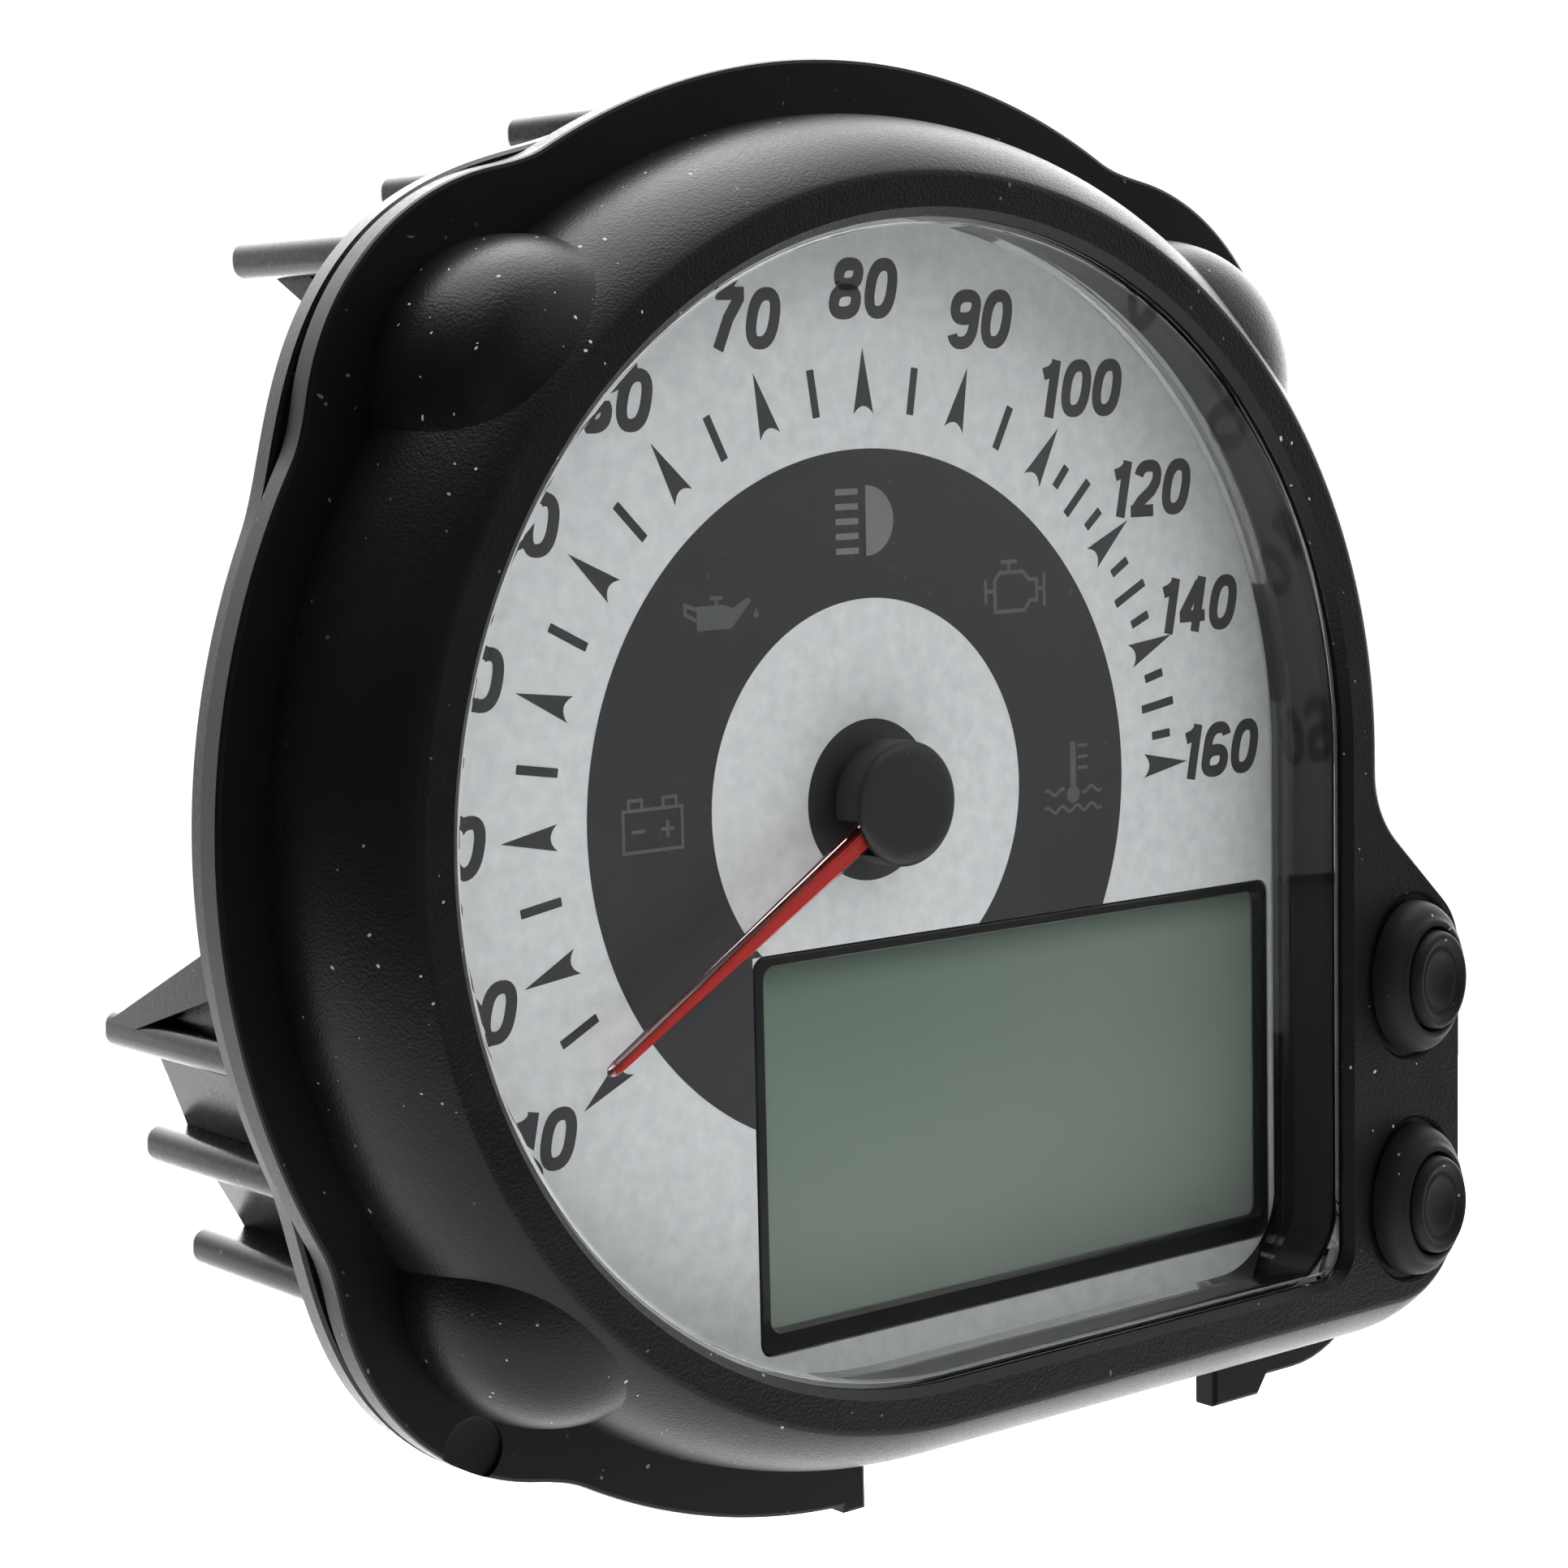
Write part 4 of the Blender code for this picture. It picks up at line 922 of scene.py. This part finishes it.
def makePointer():
    root, reach = needle["root"], needle["reach"]
    rootHalf, tipHalf = needle["rootHalf"], needle["tipHalf"]
    blade = bladeBar("pointerBody", [(root, rootHalf, -0.58, 0.58), (reach - 1.4, tipHalf, -0.42, 0.58),
                                     (reach - 0.3, 0.42, -0.30, 0.5), (reach, 0.22, -0.12, 0.4)], bladeClear)
    hub = turned("pointerHub", [(0.0, -4.9), (4.3, -4.9), (4.6, -4.7), (4.6, -2.8), (4.4, -2.6), (1.05, -2.6),
                                (1.05, -3.6), (0.0, -3.6)], capBlack)
    stripe = bladeBar("pointerStripe", [(root, 0.85, -0.64, -0.585), (reach - 1.6, 0.36, -0.48, -0.425),
                                        (reach - 0.5, 0.22, -0.36, -0.31)], stripeRed)
    under = bladeBar("pointerUnder", [(root, 0.95, 0.585, 0.64), (reach - 1.6, 0.40, 0.585, 0.64),
                                      (reach - 0.5, 0.3, 0.54, 0.6)], stripeRed)
    cap = turned("pointerCap", [(0.0, -6.2), (4.6, -6.18), (5.5, -6.13), (6.0, -6.02), (6.27, -5.86),
                                (6.4, -5.62), (6.44, -5.3), (6.44, -2.2), (6.3, -2.0), (5.4, -2.0),
                                (5.4, -5.3), (0.0, -5.3)], capBlack, steps=120)
    slot = slab("slotCutter", boxRun(4.2, 9.0, -2.2, 2.2, 0.3), needle["depth"] - 0.9, 0.0)
    carve(cap, "DIFFERENCE", turnedAt(slot, needle["angle"]))
    evenNormals(cap)
    give(cap, "pointer", "black_grain", "pointer_cap")
    for piece in (stripe, under):
        give(piece, "pointer", "pointer_red")
    give(blade, "pointer", "pointer_red", "pointer_blade")
    give(hub, "pointer", "black_grain")
    print("pointer made")


makePointer()


# rubber buttons: a boot seated in the panel, and a knob that moves inside it
def makeButtons():
    seat = case["ringDepth"] + 0.3
    boot = [(5.95, seat + 2.8), (5.95, -16.2), (6.05, -16.42), (6.3, -16.52), (6.6, -16.45), (6.85, -16.2),
            (7.05, -15.98), (7.35, -15.82), (7.7, -15.6), (8.1, -15.2), (8.4, -14.7), (8.58, -14.1),
            (8.65, -13.5), (8.65, seat), (7.25, seat), (7.25, seat + 2.8)]
    nub = [(0.0, -16.35), (1.0, -16.38), (1.9, -16.5), (2.6, -16.75), (3.0, -17.0), (3.3, -17.1),
           (3.6, -17.02), (3.8, -16.95), (4.1, -17.1), (4.45, -17.45), (4.75, -17.6), (5.05, -17.58),
           (5.3, -17.4), (5.48, -17.05), (5.56, -16.6), (5.6, -16.1), (5.6, -11.1), (5.5, -11.0),
           (0.0, -11.0)]
    for name, z in zip(("upper", "lower"), buttonPlan["heights"]):
        look = dict(finish=buttonRubber, centre=(buttonPlan["x"], z), steps=96, flat=buttonPlan["rubberFlat"],
                    sharp=50.0)
        skirt, knob = turned(name + "Boot", boot, **look), turned(name + "Knob", nub, **look)
        give(skirt, "housing", "rubber", name + "_button_boot")
        give(knob, name + "_button_body", "rubber", name + "_button")
    print("buttons made")


makeButtons()


# rear housing: lobed plate, tray, tub, stepped ribs with gussets
rear = dict(plateFront=5.7, plateBack=8.7, plateR=74.1, plateFoot=-68.9, plateRight=79.6, trayR=66.0,
            trayRight=77.5, trayBack=14.2, wall=2.2, tubR=45.0, tubBack=37.0, ribThick=3.7, ribBack=39.0,
            ribRound=1.3, padBack=40.0, mountR=34.0, mountAngles=(90.0, 210.0, 330.0), screwR=70.5,
            panelScrew=(69.3, -38.5), vent=(20.0, 14.0))
# left, right, height
ribPlan = ((-16.1, 16.1, 69.5), (-32.2, 32.2, 63.0), (-50.1, 50.1, 56.1),
           (-68.1, -39.4, -19.8), (-64.0, -30.4, -32.2), (-59.3, -14.0, -43.7))
# x, then the height at the rib and at the plate
gussetPlan = ((-46.2, 55.0, 39.5), (43.1, 55.0, 39.5), (-68.1, -19.0, -5.0))


def plateRun(grow):
    foot, right = rear["plateFoot"] - grow, rear["plateRight"] + grow
    return lobedRun(rear["plateR"] + grow, case["lobeR"] + grow, 6.0) + filletRun(
        [(-3.2, foot, 0.0), (right, foot, 14.0 + grow), (right, -19.0, 9.0), (73.7 + grow, -9.0, 0.0)], 14)


def makeRib(left, right, z):
    half, end, soft = rear["ribThick"] / 2.0, rear["ribBack"], rear["ribRound"]

    def ribRun(inset):
        return boxRun(left + inset, right - inset, z - half + inset, z + half - inset, max(0.3, 1.5 - inset))

    nose = [polar(soft, t, (soft, end - soft)) for t in (180.0, 157.5, 135.0, 112.5, 90.0)]
    return loft("ribBlank", stack(ribRun, (0.0, 7.0), *nose))


def makeGusset(x, atRib, atPlate):
    lean = 1.0 if atRib > atPlate else -1.0

    def wedge(name, shrink, x0, x1):
        bm = bmesh.new()
        tip, foot = rear["ribBack"] - 1.5 - 3.2 * shrink, atPlate + lean * 3.4 * shrink
        corners = ((tip, atRib), (7.0, atRib), (7.0, foot))
        joinRows(bm, [[bm.verts.new((side * mm, dialFace + y * mm, z * mm)) for y, z in corners]
                      for side in (x0, x1)])
        return newPiece(name, bm)

    wall = wedge("gussetBlank", 0.0, x, x + 3.1)
    carve(wall, "DIFFERENCE", wedge("gussetPocket", 1.8, x - 1.0, x + 2.2))
    return wall


def drum(name, radius, front, end, centre=(0.0, 0.0), steps=96, soft=0.6):
    rim = [polar(soft, t, (radius - soft, end - soft)) for t in (0.0, 30.0, 60.0, 90.0)]
    return turned(name, [(0.0, front), (radius, front)] + rim + [(0.0, end)], centre=centre, steps=steps)


def makeHousing():
    front, plate, deep, wall = rear["plateFront"], rear["plateBack"], rear["trayBack"], rear["wall"]
    tub, tubBack = rear["tubR"], rear["tubBack"]
    mounts = [polar(rear["mountR"], a) for a in rear["mountAngles"]]

    def trayRun(inset, corner):
        return caseRun(rear["trayR"] - inset, rear["trayRight"] - inset, corner)

    housing = loft("rearHousing", stack(plateRun, (-0.35, front), (0.0, front + 0.35), (0.0, plate - 0.5),
                                        (-0.5, plate)), rearBlack)
    bay = filletRun([(-40.0, -18.6, 0.0), (-64.8, -18.6, 1.0), (-59.4, -33.0, 1.5), (-53.5, -43.3, 1.0),
                     (-20.0, -43.3, 0.0), (-30.2, -31.0, 0.0)], 6)
    parts = [loft("trayBlank", stack(trayRun, (0.0, 10.0, 8.0), (0.0, 10.0, deep - 1.2),
                                     (0.35, 9.825, deep - 0.35), (1.2, 9.4, deep))),
             drum("tubBlank", tub, 13.0, tubBack, steps=160, soft=1.6), slab("bayBlank", bay, 8.1, 36.0)]
    parts += [makeRib(*plan) for plan in ribPlan] + [makeGusset(*plan) for plan in gussetPlan]
    parts += [slab("webBlank", boxRun(x, x + 2.0, 30.0, 69.0), 12.5, 35.0) for x in (-14.0, 12.0)]
    carve(housing, "UNION", *parts)
    carve(housing, "DIFFERENCE", slab("trayCutter", trayRun(wall, 8.0), 4.0, 12.0),
          plug("tubCutter", tub - wall, 11.0, tubBack - wall, steps=96))
    bosses = [drum("bossBlank", 6.6, 32.6, 38.0, spot, 64) for spot in mounts]
    carve(housing, "UNION", drum("padBlank", 7.0, 35.6, rear["padBack"], steps=72, soft=0.5), *bosses)
    cutters = [slab("socketCutter", boxRun(-18.8, 18.8, -39.0, -25.0, 1.0), 30.0, 42.0)]
    cutters += [plug("screwCutter", 1.9, 4.0, 10.0, polar(rear["screwR"], a)) for a in case["lobeAngles"]]
    cutters.append(plug("screwCutter", 1.7, 10.0, 16.0, rear["panelScrew"]))
    cutters += [plug("insertCutter", 2.9, 32.0, 42.0, spot, 40) for spot in mounts]
    cutters.append(plug("ventCutter", 2.3, 30.0, 42.0, rear["vent"]))
    carve(housing, "DIFFERENCE", *cutters)
    repaint(housing, rearBlack)
    evenNormals(housing)
    give(housing, "housing", "black_plain", "rear_housing")
    print("rear housing:", len(housing.data.polygons), "faces")


makeHousing()


# fittings on the back: screws, mounts, connector, vent plug and seal
fitting = dict(socket=(-18.5, 18.5, -38.7, -25.3), mouth=(-16.9, 16.9, -37.1, -26.9),
               block=(-16.5, 16.5, -36.7, -27.3), keys=(-10.0, 10.0), pinColumns=6, pinRows=2, pinWidth=25.0,
               pinHeight=4.4, pinZ=-32.0)


def panScrew(name, centre, seat, headR, headT, shankR, tip):
    # the dome in shares of the head's radius and height
    dome = ((1.0, 0.0), (1.0, 0.35), (0.95, 0.6), (0.8, 0.84), (0.55, 0.96), (0.0, 1.0))
    profile = [(0.0, tip), (shankR * 0.5, tip), (shankR, tip + 1.0), (shankR, seat)]
    profile += [(headR * out, seat + headT * up) for out, up in dome]
    made = turned(name, profile, screwSteel, centre, 40)
    reach, wide = headR * 0.52, headR * 0.15
    x, z = centre
    for w, h in ((reach, wide), (wide, reach)):
        recess = boxRun(x - w, x + w, z - h, z + h, 0.1, 2)
        carve(made, "DIFFERENCE", slab("recessCutter", recess, seat + 0.35 * headT, seat + 5.0))
    evenNormals(made)
    return made


def makeMounts():
    spot = (rear["mountR"], 0.0)
    grommet = turned("grommetBlank", [(3.0, 38.4), (3.1, 38.3), (6.3, 38.3), (6.4, 38.45), (6.4, 38.8),
                                      (6.15, 38.95), (6.15, 39.3), (6.4, 39.45), (6.4, 39.75), (6.15, 40.0),
                                      (3.25, 40.0), (3.0, 39.75)], sealRubber, spot)
    insert = turned("insertBlank", [(1.65, 33.1), (1.75, 33.0), (2.45, 33.0), (2.6, 33.15), (2.6, 34.6),
                                    (2.4, 34.8), (2.4, 35.6), (2.6, 35.8), (2.6, 37.45), (2.45, 37.6),
                                    (1.85, 37.6), (1.65, 37.4)], insertBrass, spot, 36)
    grommets = ringOf("mountGrommets", grommet, 3, 90.0, 120.0, sealRubber)
    give(grommets, "housing", "rubber", "mount_grommet_1", "mount_grommet_2", "mount_grommet_3")
    inserts = ringOf("mountInserts", insert, 3, 90.0, 120.0, insertBrass)
    give(inserts, "housing", "brass", "mount_insert_1", "mount_insert_2", "mount_insert_3")


def makeConnector():
    def insetRun(key, inset, corner):
        left, right, bottom, top = fitting[key]
        return boxRun(left + inset, right - inset, bottom + inset, top - inset, corner)

    shell = loft("connectorShell", stack(insetRun, ("socket", 0.0, 0.8, 28.0), ("socket", 0.0, 0.8, 39.3),
                                         ("socket", 0.3, 0.6, 39.6)), fittingBlack)
    mouth = loft("mouthCutter", stack(insetRun, ("mouth", 0.0, 0.5, 27.0), ("mouth", 0.0, 0.5, 39.1),
                                      ("mouth", -0.6, 0.6, 39.8)))
    keys = [slab("keyCutter", boxRun(x - 0.8, x + 0.8, -37.7, -36.9), 31.5, 42.0) for x in fitting["keys"]]
    carve(shell, "DIFFERENCE", mouth, *keys)
    evenNormals(shell)
    give(shell, "housing", "black_plain", "connector_shell")
    base = loft("pinBlock", stack(insetRun, ("block", 0.0, 0.3, 28.3), ("block", 0.0, 0.3, 30.8),
                                  ("block", 0.2, 0.3, 31.0)), fittingBlack)
    pin = loft("pinBlank", stack(boxRun, (-0.5, 0.5, -0.5, 0.5, 10.9), (-0.5, 0.5, -0.5, 0.5, 33.8),
                                 (-0.22, 0.22, -0.3, 0.3, 34.5)))
    pins = runTree("connectorPins", "grid", Piece=pin, Columns=fitting["pinColumns"], Rows=fitting["pinRows"],
                   Width=fitting["pinWidth"] * mm, Height=fitting["pinHeight"] * mm, Finish=insertBrass)
    pins.data.transform(Matrix.Translation((0.0, 0.0, fitting["pinZ"] * mm)))
    give(base, "housing", "black_plain", "connector_pins")
    give(pins, "housing", "brass")


def makeFittings():
    first = panScrew("screwBlank", (rear["screwR"], 0.0), 9.0, 3.2, 2.2, 1.5, -1.4)
    settle(first)
    screws = ringOf("caseScrews", first, 3, 45.0, 90.0, screwSteel)
    give(screws, "housing", "steel", "case_screw_1", "case_screw_2", "case_screw_3")
    fourth = panScrew("panelScrew", rear["panelScrew"], 14.5, 3.0, 2.0, 1.3, -1.4)
    give(fourth, "housing", "steel", "case_screw_4")
    makeMounts()
    makeConnector()
    vent = turned("ventPlug", [(0.0, 34.0), (1.8, 34.0), (2.0, 34.2), (2.0, 37.3), (4.85, 37.3), (5.0, 37.45),
                               (5.0, 38.2), (4.8, 38.6), (4.3, 38.95), (3.6, 39.0), (3.4, 38.7), (1.6, 38.7),
                               (1.4, 39.0), (0.0, 39.0)], sealRubber, rear["vent"])
    give(vent, "housing", "rubber", "vent_plug")
    give(beadAlong("housingBead", caseRun(66.1, 77.45, 10.2), 6.32, 0.5), "housing", "rubber", "housing_seal")
    print("fittings made")


makeFittings()


# finishes for the CAD nodes that stay as they are, by the record's slot
slotFinish = dict(black_grain=bezelGrain, black_plain=fittingBlack, rubber=sealRubber,
                  clear_plastic=guideClear, dial_print=dialSilver, display_glass=displayGlass,
                  milky_plastic=milkPlastic, board=boardGreen, motor_plastic=motorGrey,
                  gear_plastic=gearPlastic, contact_rubber=pinkRubber, steel=screwSteel, brass=insertBrass,
                  copper_wire=coilCopper, magnet=magnetGrey, pointer_red=stripeRed)
for part in frame["record"]["subparts"]:
    node = nodes[part["node"]]
    for held in node.material_slots:
        held.material = slotFinish[part["material_slot"]]


# floor, light and camera
studio = dict(floorZ=-0.42, floorR=1.4, floorAt=(0.35, 0.5), floorPaint=(0.93, 0.93, 0.93),
              white=(1.0, 1.0, 1.0), seenLight=1.1, frontLight=0.02, backLight=6.0, backWay=(0.6, 0.8, 0.0),
              backFrom=0.24, backTo=0.7, softLight=2.5, softWay=(0.70, -0.02, 0.71), softFrom=0.36,
              softTo=0.92)
lamps = {"frontSoft": dict(place=(-0.45, -0.75, 0.02), target=(0.0, -0.04, 0.0), size=0.45, power=0.38),
         "highSoft": dict(place=(0.05, -0.70, 0.45), target=(0.0, -0.04, 0.0), size=0.4, power=0.54),
         "floorWash": dict(place=(0.0, 0.6, 1.8), target=(0.0, 0.6, -0.42), size=2.0, power=90.0)}
view = dict(azimuth=-38.899, elevation=6.693, roll=-1.278, target=(-11.031, 0.0, 2.567), distance=351.23,
            lens=80.02, sensor=36.0, nearest=0.01)


def makeFloor():
    bm = bmesh.new()
    place = Matrix.Translation((*studio["floorAt"], studio["floorZ"]))
    bmesh.ops.create_circle(bm, cap_ends=True, segments=96, radius=studio["floorR"], matrix=place)
    newPiece("floor", bm, plainFinish("pale floor", 0.9, Base_Color=studio["floorPaint"])[0])


def makeSky():
    # white where it is seen directly; light from the back and from high on the right, and a dark front
    world = bpy.data.worlds.new("studio")
    bpy.context.scene.world = world
    world.use_nodes = True
    tree = world.node_tree
    where = tree.nodes.new("ShaderNodeTexCoord").outputs["Generated"]
    glows = []
    for name in ("back", "soft"):
        toward = vectorNode(tree, "DOT_PRODUCT", where, studio[name + "Way"]).outputs["Value"]
        reach = rampNode(tree, toward, studio[name + "From"], studio[name + "To"])
        glows.append(times(tree, reach, studio[name + "Light"]))
    total = mathNode(tree, "ADD", mathNode(tree, "MAXIMUM", *glows), studio["frontLight"])
    sky = tree.nodes["Background"]
    feed(tree, sky.inputs["Color"], studio["white"])
    feed(tree, sky.inputs["Strength"], total)
    backdrop = addNode(tree, "ShaderNodeBackground", Color=studio["white"], Strength=studio["seenLight"])
    path, mix = (tree.nodes.new("ShaderNode" + kind) for kind in ("LightPath", "MixShader"))
    wire(tree, (path.outputs["Is Camera Ray"], mix.inputs[0]), (sky.outputs[0], mix.inputs[1]),
         (backdrop.outputs[0], mix.inputs[2]), (mix.outputs[0], tree.nodes["World Output"].inputs["Surface"]))


def makeLamp(name, place, target, size, power):
    data = bpy.data.lights.new(name, "AREA")
    data.energy, data.size = power, size
    lamp = linked(name, data)
    lamp.location = place
    lamp.visible_camera = False
    lamp.rotation_euler = (Vector(target) - Vector(place)).to_track_quat("-Z", "Y").to_euler()


def makeCamera():
    a, e, r = (math.radians(view[key]) for key in ("azimuth", "elevation", "roll"))
    behind = Vector((math.sin(a) * math.cos(e), -math.cos(a) * math.cos(e), math.sin(e)))
    side = Vector((math.cos(a), math.sin(a), 0.0))
    up = behind.cross(side)
    across = math.cos(r) * side + math.sin(r) * up
    above = -math.sin(r) * side + math.cos(r) * up
    data = bpy.data.cameras.new("camera")
    data.lens, data.sensor_width, data.clip_start = view["lens"], view["sensor"], view["nearest"]
    camera = linked("camera", data)
    x, y, z = view["target"]
    place = Vector((x * mm, dialFace + y * mm, z * mm)) + behind * view["distance"] * mm
    camera.matrix_world = Matrix.Translation(place) @ Matrix((across, above, behind)).transposed().to_4x4()
    bpy.context.scene.camera = camera


makeFloor()
makeSky()
for name, lamp in lamps.items():
    makeLamp(name, **lamp)
makeCamera()
bpy.context.scene.view_settings.view_transform = "Standard"
print("stage ready")
print("scene ready")
